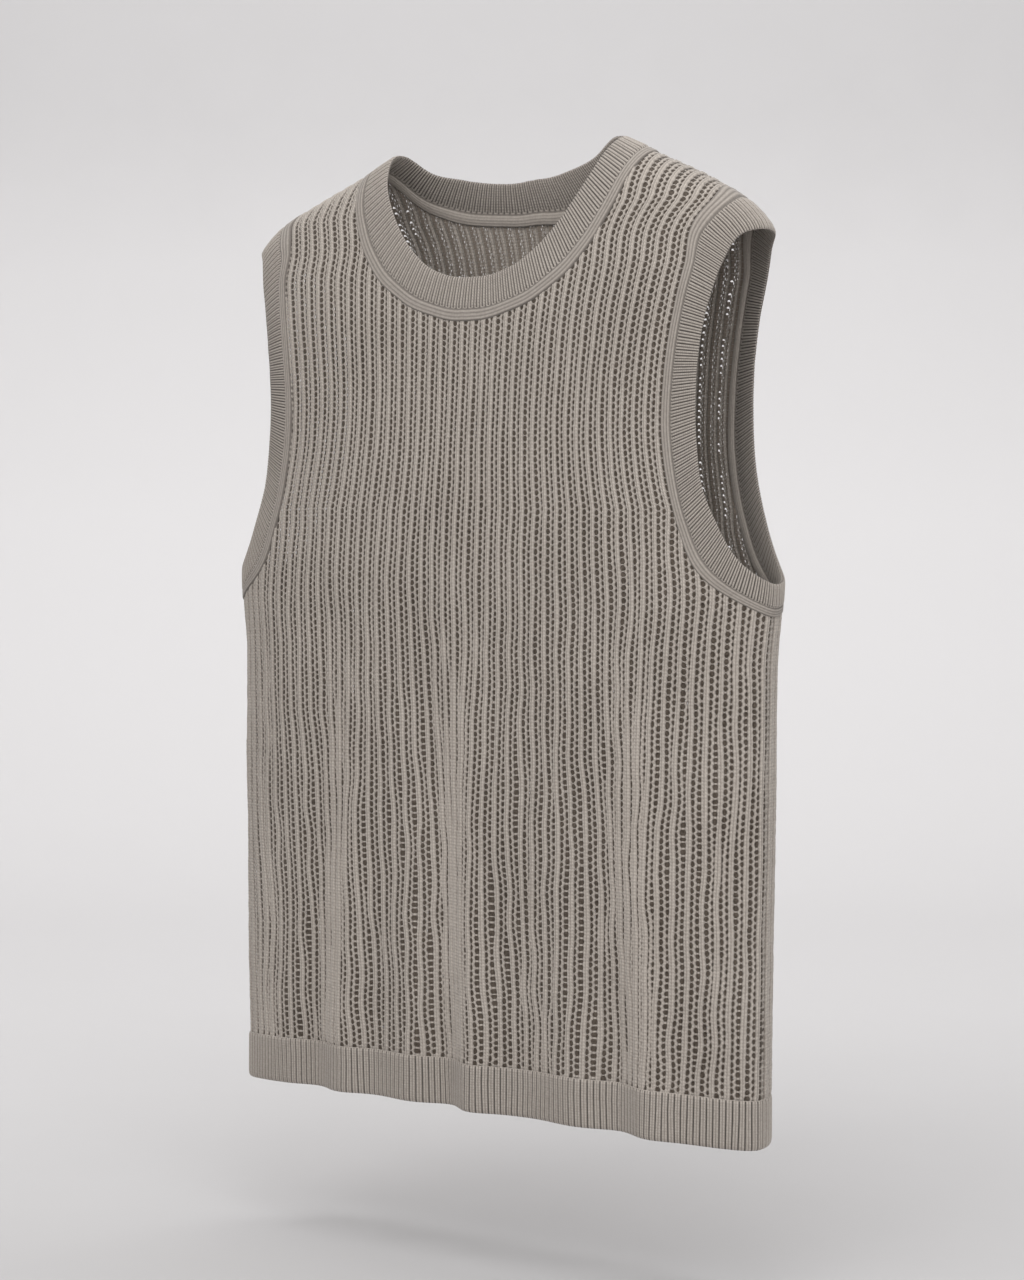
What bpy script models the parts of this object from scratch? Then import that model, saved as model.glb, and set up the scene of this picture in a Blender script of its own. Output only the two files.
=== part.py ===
"""Sweater vest: sleeveless open-knit vest with ribbed neck, armhole and hem bands.

Every piece is a thin wall on one worn form. The form is a stack of horizontal
sections; z = 0 is at the height of the neck ends of the shoulder seams, the
front faces -Y and the wearer's left is +X. Heights in the tables below are
measured from the hem edge, in metres.
"""
import bpy
import numpy as np

HOLD_HEIGHT = 0.628          # hem edge up to the shoulder mount
SEAM_GAP = 0.0003            # clear distance between neighbouring pieces
FRONT = -1
BACK = 1

# ---------------------------------------------------------------- worn form
SECTION_COLUMNS = ("height", "half_width", "front_y", "back_y", "side_y", "squareness")
SECTIONS = np.array([
    (0.0000, 0.2085, -0.0500, 0.0340, -0.0200, 5.0),
    (0.1000, 0.2093, -0.0520, 0.0370, -0.0195, 4.8),
    (0.2000, 0.2103, -0.0545, 0.0400, -0.0185, 4.4),
    (0.3000, 0.2108, -0.0570, 0.0435, -0.0175, 3.8),
    (0.3540, 0.2152, -0.0575, 0.0455, -0.0170, 3.5),
    (0.4200, 0.2130, -0.0540, 0.0475, -0.0155, 3.7),
    (0.4700, 0.2125, -0.0505, 0.0480, -0.0130, 4.4),
    (0.5200, 0.2120, -0.0470, 0.0460, -0.0105, 5.6),
    (0.5500, 0.2110, -0.0430, 0.0430, -0.0085, 5.8),
    (0.5760, 0.2062, -0.0375, 0.0385, -0.0060, 5.2),
    (0.5926, 0.1920, -0.0335, 0.0345, -0.0035, 4.2),
    (0.6278, 0.1154, -0.0255, 0.0230, 0.0000, 2.6),
    (0.6390, 0.0910, -0.0230, 0.0180, 0.0000, 2.4),
    (0.6550, 0.0560, -0.0195, 0.0120, 0.0000, 2.2),
    (0.6640, 0.0300, -0.0170, 0.0080, 0.0000, 2.2),
    (0.6680, 0.0040, -0.0150, 0.0070, 0.0000, 2.2),
])
FULLEST = 0.42               # above this height the sides only draw in

# Soft hanging folds of the lower part: a trough and a crest on either side of x.
FOLD_COLUMNS = ("side", "at_x", "lean", "width", "swing", "starts_at")
FOLDS = (
    (FRONT, -0.1180, 0.020, 0.0150, 0.0048, 0.330),
    (FRONT, -0.0050, 0.000, 0.0140, 0.0065, 0.340),
    (FRONT, 0.1320, -0.010, 0.0150, 0.0055, 0.330),
    (FRONT, -0.0620, 0.010, 0.0180, 0.0022, 0.260),
    (FRONT, 0.0700, 0.000, 0.0190, 0.0022, 0.280),
    (BACK, -0.1300, 0.015, 0.0160, -0.0050, 0.340),
    (BACK, -0.0450, 0.000, 0.0170, -0.0060, 0.360),
    (BACK, 0.0550, -0.010, 0.0160, -0.0055, 0.330),
    (BACK, 0.1250, -0.015, 0.0150, -0.0045, 0.310),
)

# --------------------------------------------------------------- seam lines
# A row is (distance from the middle, height above the hem edge); None stands
# for "on the shoulder line" or "on the side line" at the other value.
NECK_SEAM_FRONT = ((0, 0.5232), (0.022, 0.5255), (0.0436, 0.5320), (0.0556, 0.5380), (0.0745, 0.5510),
                   (0.0880, 0.5660), (0.0972, 0.5805), (0.1072, 0.6030), (0.1143, None))
NECK_SEAM_BACK = ((0, 0.5915), (0.040, 0.5925), (0.075, 0.5985), (0.100, 0.6115), (0.1143, None))
NECK_EDGE_FRONT = ((0, 0.5485), (0.018, 0.5500), (0.036, 0.5555), (0.052, 0.5660), (0.066, 0.5800),
                   (0.078, 0.5990), (0.0865, 0.6190), (0.0908, None))
NECK_EDGE_BACK = ((0, 0.6144), (0.030, 0.6150), (0.060, 0.6190), (0.080, 0.6280), (0.0908, None))
ARM_SEAM_FRONT = ((0.1715, None), (0.1656, 0.5805), (0.1628, 0.5520), (0.1550, 0.5080),
                  (0.1510, 0.4644), (0.1530, 0.4331), (0.1640, 0.3896), (0.1770, 0.3618),
                  (0.1955, 0.3465), (None, 0.3340))
ARM_SEAM_BACK = ((0.1715, None), (0.1660, 0.5820), (0.1580, 0.5450), (0.1500, 0.5100),
                 (0.1465, 0.4800), (0.1460, 0.4500), (0.1490, 0.4250), (0.1580, 0.3920),
                 (0.1740, 0.3620), (0.1940, 0.3450), (None, 0.3340))
ARM_EDGE_FRONT = ((None, 0.5765), (0.1980, 0.5745), (0.1920, 0.5690), (0.1840, 0.5514),
                  (0.1770, 0.5264), (0.1722, 0.4952), (0.1712, 0.4641), (0.1732, 0.4392),
                  (0.1777, 0.4144), (0.1852, 0.3958), (0.1963, 0.3742), (0.2065, 0.3620),
                  (None, 0.3540))
ARM_EDGE_BACK = ((None, 0.5765), (0.1985, 0.5725), (0.1900, 0.5655), (0.1810, 0.5500),
                 (0.1715, 0.5240), (0.1665, 0.4950), (0.1665, 0.4650), (0.1690, 0.4400),
                 (0.1763, 0.4100), (0.1893, 0.3800), (0.2030, 0.3620), (None, 0.3540))
HEM_BAND = 0.031             # height of the hem rib
HEM_RISE = 0.005             # the front hem hangs this much higher in the middle

# -------------------------------------------------------------------- knit
REPEATS = 25                 # knit repeats in half a panel, one raised rib each
ARM_REPEATS = 18             # repeats that pass between the armhole seams
NECK_REPEATS = 12            # repeats that end at the neck seam
FAN_TOP = 0.400              # below this height the repeats fan out to the side
YARN_COLOUR = (0.40, 0.36, 0.32)
YARN_ROUGHNESS = 0.92
SHARP_ANGLE = 0.6
LOWER_ROWS = 5
UPPER_ROWS = 11
RIB_CREST = 0.0017           # outer face of a raised rib, out from the form
RIB_VALLEY = 0.0006
PANEL_INSIDE = -0.0010

# Cross-section of the ribbed bands, from the seam (0) to the free edge (1).
BAND_COLUMNS = ("across", "out")
BAND_PROFILE = ((0.00, 0.0015), (0.23, 0.0015), (0.28, 0.0010), (0.95, 0.0011), (1.00, 0.0004),
                (1.00, -0.0006), (0.95, -0.0012), (0.28, -0.0011), (0.23, -0.0014), (0.00, -0.0014))
HEM_PROFILE = ((0.00, 0.0011), (0.93, 0.0013), (1.00, 0.0006),
               (1.00, -0.0006), (0.93, -0.0012), (0.00, -0.0010))


def through(at, knots, values):
    """Smooth curve through a short table, without overshoot."""
    at = np.clip(at, knots[0], knots[-1])
    slope = np.diff(values) / np.diff(knots)
    tangent = np.zeros(len(values))
    both = slope[1:] + slope[:-1]
    both = np.where(np.abs(both) < 1e-12, 1e-12, both)
    same_way = slope[1:] * slope[:-1] > 0
    tangent[1:-1] = np.where(same_way, 2 * slope[1:] * slope[:-1] / both, 0)
    tangent[0] = slope[0]
    tangent[-1] = slope[-1]
    k = np.clip(np.searchsorted(knots, at) - 1, 0, len(knots) - 2)
    step = knots[k + 1] - knots[k]
    t = (at - knots[k]) / step
    start = (2 * t**3 - 3 * t**2 + 1) * values[k] + (t**3 - 2 * t**2 + t) * step * tangent[k]
    end = (3 * t**2 - 2 * t**3) * values[k + 1] + (t**3 - t**2) * step * tangent[k + 1]
    return start + end


def sized(height, name):
    """One column of the section table at any height."""
    return through(height, SECTIONS[:, 0], SECTIONS[:, SECTION_COLUMNS.index(name)])


SHOULDER_HEIGHTS = np.linspace(0.668, FULLEST, 6000)
SHOULDER_WIDTHS = sized(SHOULDER_HEIGHTS, "half_width")
WIDEST = int(np.argmax(SHOULDER_WIDTHS))


def shoulder_height(x):
    """Height of the shoulder line at a distance from the middle."""
    return np.interp(np.abs(x), SHOULDER_WIDTHS[:WIDEST], SHOULDER_HEIGHTS[:WIDEST])


def eased(t):
    t = np.clip(t, 0, 1)
    return t * t * (3 - 2 * t)


def folded(x, height, side):
    """How far the hanging folds push the wall out."""
    total = np.zeros(np.broadcast(x, height).shape)
    for fold_side, at_x, lean, width, swing, starts_at in FOLDS:
        if fold_side != side:
            continue
        t = (x - at_x - lean * height / starts_at) / width
        grown = eased((starts_at - height) / starts_at)
        total = total + swing * grown * t * np.exp(0.5 - 0.5 * t * t)
    return total


def depth(x, height, side):
    """Signed depth of the section from its side line to the middle of a side."""
    name = "front_y" if side == FRONT else "back_y"
    return sized(height, name) - sized(height, "side_y") + side * folded(x, height, side)


def fullness(x, y, height, side):
    """One on the form, more outside it."""
    across = np.abs(x) / sized(height, "half_width")
    deep = (y - sized(height, "side_y")) / depth(x, height, side)
    return across ** sized(height, "squareness") + deep ** 2


def on_form(x, height, side):
    """Point of the form at a distance from the middle and a height."""
    across = np.clip(np.abs(x) / sized(height, "half_width"), 0, 1)
    swell = np.sqrt(np.maximum(1 - across ** sized(height, "squareness"), 0))
    return np.stack([x, sized(height, "side_y") + depth(x, height, side) * swell, height], -1)


def outward(points, side):
    """Unit normals of the form."""
    x, y, z = points[..., 0], points[..., 1], points[..., 2]
    e = 2e-5
    grown = np.stack([fullness(x + e, y, z, side) - fullness(x - e, y, z, side),
                      fullness(x, y + e, z, side) - fullness(x, y - e, z, side),
                      fullness(x, y, z + e, side) - fullness(x, y, z - e, side)], -1)
    return grown / np.linalg.norm(grown, axis=-1, keepdims=True)


def hem_rise(x, side):
    """The hem edge hangs level at the sides and a little higher at the front."""
    if side == BACK:
        return np.zeros(np.shape(x))
    return HEM_RISE * (1 - (np.abs(x) / SECTIONS[0, 1]) ** 4)


# ------------------------------------------------------ loops on the form
def closed_curve(knots, height_weight):
    """Smooth closed curve through flat knots, finely sampled."""
    knots = np.array(knots, dtype=float)
    count = len(knots)
    scale = np.array([1.0, height_weight])
    t = np.linspace(0, 1, 40, endpoint=False)[:, None]
    pieces = []
    for i in range(count):
        p0, p1, p2, p3 = knots[i - 1], knots[i], knots[(i + 1) % count], knots[(i + 2) % count]
        d1 = np.linalg.norm((p1 - p0) * scale) ** 0.5
        d2 = np.linalg.norm((p2 - p1) * scale) ** 0.5
        d3 = np.linalg.norm((p3 - p2) * scale) ** 0.5
        m1 = (p2 - p1) + d2 * ((p1 - p0) / d1 - (p2 - p0) / (d1 + d2))
        m2 = (p2 - p1) + d2 * ((p3 - p2) / d3 - (p3 - p1) / (d2 + d3))
        pieces.append((2 * t**3 - 3 * t**2 + 1) * p1 + (t**3 - 2 * t**2 + t) * m1
                      + (3 * t**2 - 2 * t**3) * p2 + (t**3 - t**2) * m2)
    return np.concatenate(pieces)


def neck_knots(front, back):
    """(x, root of the drop below the shoulder line; + front, - back), left to right."""
    half_front = [(x, 0.0 if z is None else np.sqrt(shoulder_height(x) - z)) for x, z in front]
    half_back = [(x, 0.0 if z is None else -np.sqrt(shoulder_height(x) - z)) for x, z in back]
    loop = [(-x, m) for x, m in half_front[:0:-1]]
    loop += half_front
    loop += half_back[-2::-1]
    loop += [(-x, m) for x, m in half_back[1:-1]]
    return loop


def neck_points(flat):
    """Points of the form from neck coordinates, and the side each is on."""
    x, root = flat[:, 0], flat[:, 1]
    height = shoulder_height(x) - root**2
    side = np.where(root > 0, FRONT, BACK)
    points = np.where(root[:, None] > 0, on_form(x, height, FRONT), on_form(x, height, BACK))
    return points, side


def arm_knots(front, back):
    """(height, root of the distance in from the side line; + front, - back)."""
    loop = []
    for rows, sign in ((front, 1), (back[-2:0:-1], -1)):
        for x, z in rows:
            if z is None:
                loop.append((float(shoulder_height(x)), 0.0))
            elif x is None:
                loop.append((z, 0.0))
            else:
                loop.append((z, sign * np.sqrt(sized(z, "half_width") - x)))
    return loop


def arm_points(flat):
    height, root = flat[:, 0], flat[:, 1]
    x = sized(height, "half_width") - root**2
    side = np.where(root > 0, FRONT, BACK)
    points = np.where(root[:, None] > 0, on_form(x, height, FRONT), on_form(x, height, BACK))
    return points, side


def run(points):
    """Distance along a string of points."""
    return np.concatenate([[0], np.cumsum(np.linalg.norm(np.diff(points, axis=0), axis=1))])


class Half:
    """One of the two halves of a closed loop, front or back, with its length."""

    def __init__(self, flat, place):
        self.flat = flat
        points, side = place(flat)
        length = run(points)
        self.share = length / length[-1]

    def at(self, share):
        return np.stack([np.interp(share, self.share, self.flat[:, 0]),
                         np.interp(share, self.share, self.flat[:, 1])], -1)


def halves(knots, place, front_count):
    """Split a closed curve at its first knot and after front_count knots."""
    curve = closed_curve(knots, 0.35)
    cut = front_count * 40
    front = Half(curve[:cut + 1], place)
    back = Half(np.vstack([curve[cut:], curve[:1]]), place)
    return front, back


NECK_SEAM = halves(neck_knots(NECK_SEAM_FRONT, NECK_SEAM_BACK), neck_points,
                   2 * len(NECK_SEAM_FRONT) - 2)
NECK_EDGE = halves(neck_knots(NECK_EDGE_FRONT, NECK_EDGE_BACK), neck_points,
                   2 * len(NECK_EDGE_FRONT) - 2)
ARM_SEAM = halves(arm_knots(ARM_SEAM_FRONT, ARM_SEAM_BACK), arm_points, len(ARM_SEAM_FRONT) - 1)
ARM_EDGE = halves(arm_knots(ARM_EDGE_FRONT, ARM_EDGE_BACK), arm_points, len(ARM_EDGE_FRONT) - 1)


# ----------------------------------------------------------- knit repeats
def arc_table(height, side):
    """Distances from the middle along the horizontal section, against x."""
    half = float(sized(height, "half_width"))
    x = half * np.sin(np.linspace(0, np.pi / 2, 300))
    points = on_form(x, np.full(300, height), side)
    return x, run(points)


def armhole_x(height, side):
    """Distance of the armhole seam from the middle at a height."""
    half = ARM_SEAM[0] if side == FRONT else ARM_SEAM[1]
    heights = half.flat[:, 0]
    x = sized(heights, "half_width") - half.flat[:, 1] ** 2
    order = np.argsort(heights)
    return float(np.interp(height, heights[order], x[order]))


def armpit_height():
    return ARM_SEAM_FRONT[-1][1]


def spread(height, side):
    """Section length that the repeats of half a panel are spread over."""
    x, arc = arc_table(height, side)
    low = armpit_height()
    if height <= low:
        return arc[-1]
    seam = np.interp(armhole_x(height, side), x, arc) * REPEATS / ARM_REPEATS
    share = float(eased((height - low) / (FAN_TOP - low)))
    return (1 - share) * arc[-1] + share * seam


def repeat_x(place, height, side):
    """x of a knit repeat line (place is -1 to 1 across the panel) at a height."""
    x, arc = arc_table(height, side)
    found = np.interp(np.minimum(np.abs(place) * spread(height, side), arc[-1]), arc, x)
    return np.sign(place) * found


def armhole_ends(side):
    """Heights where the repeat lines outside the fan meet the armhole seam."""
    heights = np.linspace(armpit_height(), FAN_TOP, 120)
    places = []
    for height in heights:
        x, arc = arc_table(height, side)
        seam = np.interp(armhole_x(height, side), x, arc)
        places.append(seam / spread(height, side))
    places = np.minimum.accumulate(np.array(places))
    places[0] = 1.0
    return places[::-1], heights[::-1]


def neck_height(x, side):
    """Height of the neck seam at a distance from the middle."""
    half = NECK_SEAM[0] if side == FRONT else NECK_SEAM[1]
    at = np.abs(half.flat[:, 0])
    height = shoulder_height(at) - half.flat[:, 1] ** 2
    order = np.argsort(at)
    return float(np.interp(abs(x), at[order], height[order]))


def panel_lines(side):
    """x and height of every point of a panel, line by line of the knit.

    Returns the lower block (all lines) and the upper block (lines that pass
    between the armholes); a line runs from the hem band up.
    """
    places, heights = armhole_ends(side)
    lower = {}
    upper = {}
    last = 2 * REPEATS
    inner = 2 * ARM_REPEATS
    neck = 2 * NECK_REPEATS
    for k in range(-last, last + 1):
        place = k / last
        foot = float(repeat_x(place, HEM_BAND, side))
        start = HEM_BAND + float(hem_rise(foot, side)) + SEAM_GAP / 2
        end = FAN_TOP
        if abs(k) > inner:
            end = float(np.interp(abs(place), places, heights))
        if abs(k) == last:
            end = armpit_height()
        rows = []
        for j in range(LOWER_ROWS + 1):
            height = start + (end - start) * j / LOWER_ROWS
            x = float(repeat_x(place, height, side))
            if abs(k) == last:
                x = np.sign(k) * float(sized(height, "half_width"))
            rows.append((x, height))
        lower[k] = rows
        if abs(k) > inner:
            continue
        top_x = k / inner * ARM_SEAM_FRONT[0][0]
        for turn in range(12):
            top = float(shoulder_height(top_x))
            if abs(k) < neck:
                top = neck_height(top_x, side)
            share = armhole_x(min(top, shoulder_height(ARM_SEAM_FRONT[0][0])), side)
            top_x = k / inner * share
        if abs(k) >= neck:
            top_x = k / inner * ARM_SEAM_FRONT[0][0]
            top = float(shoulder_height(top_x))
        rows = []
        for j in range(UPPER_ROWS + 1):
            left = (1 - j / UPPER_ROWS) ** 1.8
            height = top - (top - FAN_TOP) * left
            x = top_x
            if j < UPPER_ROWS:
                clear = min(height, float(shoulder_height(ARM_SEAM_FRONT[0][0])))
                x = k / inner * armhole_x(clear, side)
                x = x if abs(k) == inner else float(repeat_blend(k, height, side, x))
            rows.append((x, height))
        rows[0] = lower[k][-1]
        upper[k] = rows
    return lower, upper


def repeat_blend(k, height, side, x):
    """Even spacing along the section low down, even spacing in x at the shoulder."""
    share = float(eased((height - FAN_TOP) / 0.08))
    if share >= 1:
        return x
    along = float(repeat_x(k / (2 * REPEATS), height, side))
    return share * x + (1 - share) * along


# ------------------------------------------------------------- mesh making
def cotton(name, colour):
    """Matt cotton yarn."""
    material = bpy.data.materials.new(name)
    material.use_nodes = True
    shader = material.node_tree.nodes["Principled BSDF"]
    shader.inputs["Base Color"].default_value = (*colour, 1.0)
    shader.inputs["Roughness"].default_value = YARN_ROUGHNESS
    shader.inputs["Metallic"].default_value = 0.0
    material.diffuse_color = (*colour, 1.0)
    return material


def add_node(name, points, faces, material):
    mesh = bpy.data.meshes.new(name)
    shifted = np.array(points) - np.array([0.0, 0.0, HOLD_HEIGHT])
    mesh.from_pydata([tuple(p) for p in shifted], [], faces)
    mesh.validate()
    mesh.materials.append(material)
    mesh.shade_smooth()
    mesh.set_sharp_from_angle(angle=SHARP_ANGLE)
    mesh.update()
    node = bpy.data.objects.new(name, mesh)
    vest.objects.link(node)
    return node


def rib_height(k):
    """Outer face of the panel: raised ribs, with the open columns between them."""
    return RIB_CREST if k % 2 else RIB_VALLEY


class Panel:
    """Front or back panel: ribbed outer sheet over a plain inner sheet."""

    def __init__(self, side):
        self.side = side
        lower, upper = panel_lines(side)
        self.keys = []
        flat = []
        for block, lines in (("lower", lower), ("upper", upper)):
            for k, rows in lines.items():
                for j, row in enumerate(rows):
                    if block == "upper" and j == 0:
                        continue
                    self.keys.append((block, k, j))
                    flat.append(row)
        flat = np.array(flat)
        self.index = {key: i for i, key in enumerate(self.keys)}
        self.points = on_form(flat[:, 0], flat[:, 1], side)
        self.normals = outward(self.points, side)
        self.shift = np.zeros_like(self.points)

    def at(self, block, k, j):
        if block == "upper" and j == 0:
            return self.index[("lower", k, LOWER_ROWS)]
        return self.index[(block, k, j)]

    def open_seams(self):
        """Half a gap between the panels at the shoulders and the sides."""
        back_off = np.array([0.0, self.side * SEAM_GAP / 2, 0.0])
        last = 2 * REPEATS
        inner = 2 * ARM_REPEATS
        for k in range(2 * NECK_REPEATS, inner + 1):
            for sign in (-1, 1):
                self.shift[self.at("upper", sign * k, UPPER_ROWS)] += back_off
        for j in range(LOWER_ROWS + 1):
            for sign in (-1, 1):
                self.shift[self.at("lower", sign * last, j)] += back_off

    def build(self, name):
        base = self.points + self.shift
        ribs = np.array([rib_height(key[1]) for key in self.keys])
        outer = base + self.normals * ribs[:, None]
        inner = base + self.normals * PANEL_INSIDE
        count = len(base)
        faces = []
        blocks = (("lower", 2 * REPEATS, LOWER_ROWS), ("upper", 2 * ARM_REPEATS, UPPER_ROWS))

        def quad(a, b, c, d):
            faces.append((a, b, c))
            faces.append((a, c, d))

        def rim(a, b, c):
            """Close the wall under two outer edges a-b-c over one inner edge a-c."""
            faces.append((a, a + count, b))
            faces.append((b, a + count, c + count))
            faces.append((b, c + count, c))

        for block, wide, rows in blocks:
            for k in range(-wide, wide):
                for j in range(rows):
                    quad(self.at(block, k, j), self.at(block, k + 1, j),
                         self.at(block, k + 1, j + 1), self.at(block, k, j + 1))
            for k in range(-wide, wide, 2):
                seamed = block == "upper" or abs(k + 1) > 2 * ARM_REPEATS
                for j in range(rows):
                    a, b = self.at(block, k, j) + count, self.at(block, k, j + 1) + count
                    d, c = self.at(block, k + 2, j) + count, self.at(block, k + 2, j + 1) + count
                    if seamed and j == rows - 1:
                        m = self.at(block, k + 1, j + 1) + count
                        faces.extend([(a, b, m), (a, m, d), (d, m, c)])
                    else:
                        quad(a, b, c, d)
                if block == "lower":
                    rim(self.at(block, k, 0), self.at(block, k + 1, 0), self.at(block, k + 2, 0))
                if seamed:
                    a, m = self.at(block, k, rows), self.at(block, k + 1, rows)
                    c = self.at(block, k + 2, rows)
                    quad(c, c + count, m + count, m)
                    quad(m, m + count, a + count, a)
            for j in range(rows):
                a, b = self.at(block, wide, j), self.at(block, wide, j + 1)
                quad(a, a + count, b + count, b)
                a, b = self.at(block, -wide, j + 1), self.at(block, -wide, j)
                quad(a, a + count, b + count, b)
        everything = np.vstack([outer, inner])
        used = sorted({i for face in faces for i in face})
        renumber = {old: new for new, old in enumerate(used)}
        order = 1 if self.side == FRONT else -1
        faces = [tuple(renumber[i] for i in face[::order]) for face in faces]
        return add_node(name, everything[used], faces, OPEN_KNIT)


def seam_loop(front, back, place):
    """Names of the panel points round the neck or an armhole, front half then back half."""
    loop = []
    if place == "neck":
        neck = 2 * NECK_REPEATS
        for k in range(-neck, neck + 1):
            loop.append((front, front.at("upper", k, UPPER_ROWS)))
        for k in range(neck - 1, -neck, -1):
            loop.append((back, back.at("upper", k, UPPER_ROWS)))
        return loop, 2 * neck
    inner = 2 * ARM_REPEATS
    last = 2 * REPEATS
    for j in range(UPPER_ROWS, -1, -1):
        loop.append((front, front.at("upper", inner, j)))
    for k in range(inner + 1, last + 1):
        loop.append((front, front.at("lower", k, LOWER_ROWS)))
    half = len(loop) - 1
    for k in range(last - 1, inner - 1, -1):
        loop.append((back, back.at("lower", k, LOWER_ROWS)))
    for j in range(1, UPPER_ROWS):
        loop.append((back, back.at("upper", inner, j)))
    return loop, half


def loop_directions(points, normals):
    """In the wall and across the loop, to the left of its run."""
    ahead = np.roll(points, -1, axis=0) - points
    behind = points - np.roll(points, 1, axis=0)
    ahead /= np.linalg.norm(ahead, axis=1, keepdims=True)
    behind /= np.linalg.norm(behind, axis=1, keepdims=True)
    along = ahead + behind
    across = np.cross(normals, along)
    return across / np.linalg.norm(across, axis=1, keepdims=True)


def band(front, back, place, profile):
    """Points and faces of a ribbed band from its seam loop to its free edge."""
    loop, half = seam_loop(front, back, place)
    seam = np.array([panel.points[i] for panel, i in loop])
    normals = np.array([panel.normals[i] for panel, i in loop])
    across = loop_directions(seam, normals)
    count = len(loop)
    if place == "neck":
        edge_front, edge_back = NECK_EDGE
        spot = neck_points
        heights = seam[:, 2]
        root = np.sqrt(np.maximum(shoulder_height(seam[:, 0]) - heights, 0))
        first = seam[:, 0]
    else:
        edge_front, edge_back = ARM_EDGE
        spot = arm_points
        root = np.sqrt(np.maximum(sized(seam[:, 2], "half_width") - seam[:, 0], 0))
        first = seam[:, 2]
    sign = np.array([1 if panel.side == FRONT else -1 for panel, i in loop])
    seam_flat = np.stack([first, root * sign], -1)
    seam_flat[0, 1] = 0
    seam_flat[half, 1] = 0
    closed = np.vstack([seam, seam[:1]])
    length = run(closed)
    share_front = length[:half + 1] / length[half]
    share_back = (length[half:-1] - length[half]) / (length[-1] - length[half])
    edge_flat = np.vstack([edge_front.at(share_front), edge_back.at(share_back)[1:]])

    # Half a gap on either side of the seam. Both panels end at the same point of the
    # shoulder line and of the side line, and have the same numbering there.
    probe, side = spot(seam_flat + 0.2 * (edge_flat - seam_flat))
    toward = np.sign(np.sum((probe - seam) * across, axis=1))[:, None] * across
    for row, (panel, i) in enumerate(loop):
        panel.shift[i] -= toward[row] * SEAM_GAP / 2
        if row in (0, half):
            back.shift[i] -= toward[row] * SEAM_GAP / 2

    rings = []
    for share, out in profile:
        flat = seam_flat + share * (edge_flat - seam_flat)
        points, side = spot(flat)
        lift = np.where((side == FRONT)[:, None], outward(points, FRONT), outward(points, BACK))
        points = points + lift * out
        if share == 0:
            points = points + toward * SEAM_GAP / 2
        rings.append(points)
    faces = []
    rows = len(profile)
    for i in range(count):
        nxt = (i + 1) % count
        for j in range(rows):
            down = (j + 1) % rows
            a, b = j * count + i, j * count + nxt
            c, d = down * count + nxt, down * count + i
            faces.append((a, b, c))
            faces.append((a, c, d))
    return np.concatenate(rings), faces


def flipped(faces):
    return [face[::-1] for face in faces]


def volume(points, faces):
    corners = points[np.array(faces)]
    return np.sum(np.cross(corners[:, 0], corners[:, 1]) * corners[:, 2]) / 6


def outward_faces(points, faces):
    return faces if volume(points, faces) > 0 else flipped(faces)


def hem(side):
    """Half of the hem rib, under one panel, from side seam to side seam."""
    count = REPEATS * 2 + 1
    places = np.linspace(-1, 1, count)
    rings = []
    for share, out in HEM_PROFILE:
        drop = HEM_BAND * (1 - share)
        x = repeat_x(places, max(drop, 1e-6), side)
        x[0] = -float(sized(drop, "half_width"))
        x[-1] = -x[0]
        height = drop + hem_rise(x, side)
        if share == 0:
            height = height - SEAM_GAP / 2
        x = np.clip(x, -sized(height, "half_width"), sized(height, "half_width"))
        points = on_form(x, height, side)
        points = points + outward(points, side) * out
        points[0, 1] += side * SEAM_GAP / 2
        points[-1, 1] += side * SEAM_GAP / 2
        rings.append(points)
    rows = len(rings)
    faces = []
    for j in range(rows):
        down = (j + 1) % rows
        for i in range(count - 1):
            a, b = j * count + i, j * count + i + 1
            c, d = down * count + i + 1, down * count + i
            faces.append((a, b, c))
            faces.append((a, c, d))
    for i, order in ((0, 1), (count - 1, -1)):
        ring = [j * count + i for j in range(rows)]
        for j in range(rows // 2 - 1):
            cap = [(ring[j], ring[j + 1], ring[-1 - j]), (ring[j + 1], ring[-2 - j], ring[-1 - j])]
            faces.extend(face[::order] for face in cap)
    points = np.concatenate(rings)
    return points, outward_faces(points, faces)


for old in list(bpy.data.objects):
    bpy.data.objects.remove(old, do_unlink=True)
vest = bpy.data.collections.new("sweater_vest")
bpy.context.scene.collection.children.link(vest)
OPEN_KNIT = cotton("open_knit", YARN_COLOUR)
RIB_KNIT = cotton("rib_knit", YARN_COLOUR)

front_panel = Panel(FRONT)
back_panel = Panel(BACK)
front_panel.open_seams()
back_panel.open_seams()
neck_ring, neck_faces = band(front_panel, back_panel, "neck", BAND_PROFILE)
arm_ring, arm_faces = band(front_panel, back_panel, "arm", BAND_PROFILE)
mirror = np.array([-1.0, 1.0, 1.0])
# The other armhole gets the same gap, mirrored.
for panel in (front_panel, back_panel):
    for key, i in panel.index.items():
        block, k, j = key
        at_arm = (block == "upper" and k == 2 * ARM_REPEATS) or \
                 (block == "lower" and j == LOWER_ROWS and k >= 2 * ARM_REPEATS)
        if at_arm:
            panel.shift[panel.index[(block, -k, j)]] = panel.shift[i] * mirror
front_panel.build("front_panel")
back_panel.build("back_panel")
add_node("neckband", neck_ring, outward_faces(neck_ring, neck_faces), RIB_KNIT)
add_node("armband_left", arm_ring, outward_faces(arm_ring, arm_faces), RIB_KNIT)
other_ring = arm_ring * mirror
add_node("armband_right", other_ring, outward_faces(other_ring, arm_faces), RIB_KNIT)
for name, side in (("front_hem", FRONT), ("back_hem", BACK)):
    hem_points, hem_faces = hem(side)
    add_node(name, hem_points, hem_faces, RIB_KNIT)
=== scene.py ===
"""Sweater vest: open-knit cloth, ribbed bands, hanging folds and soft studio light.

Every piece lies on one worn form. The wearer's left is +X, the front faces -Y,
and the heights in the tables are measured from the hem edge, in metres.
"""

import math

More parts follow.
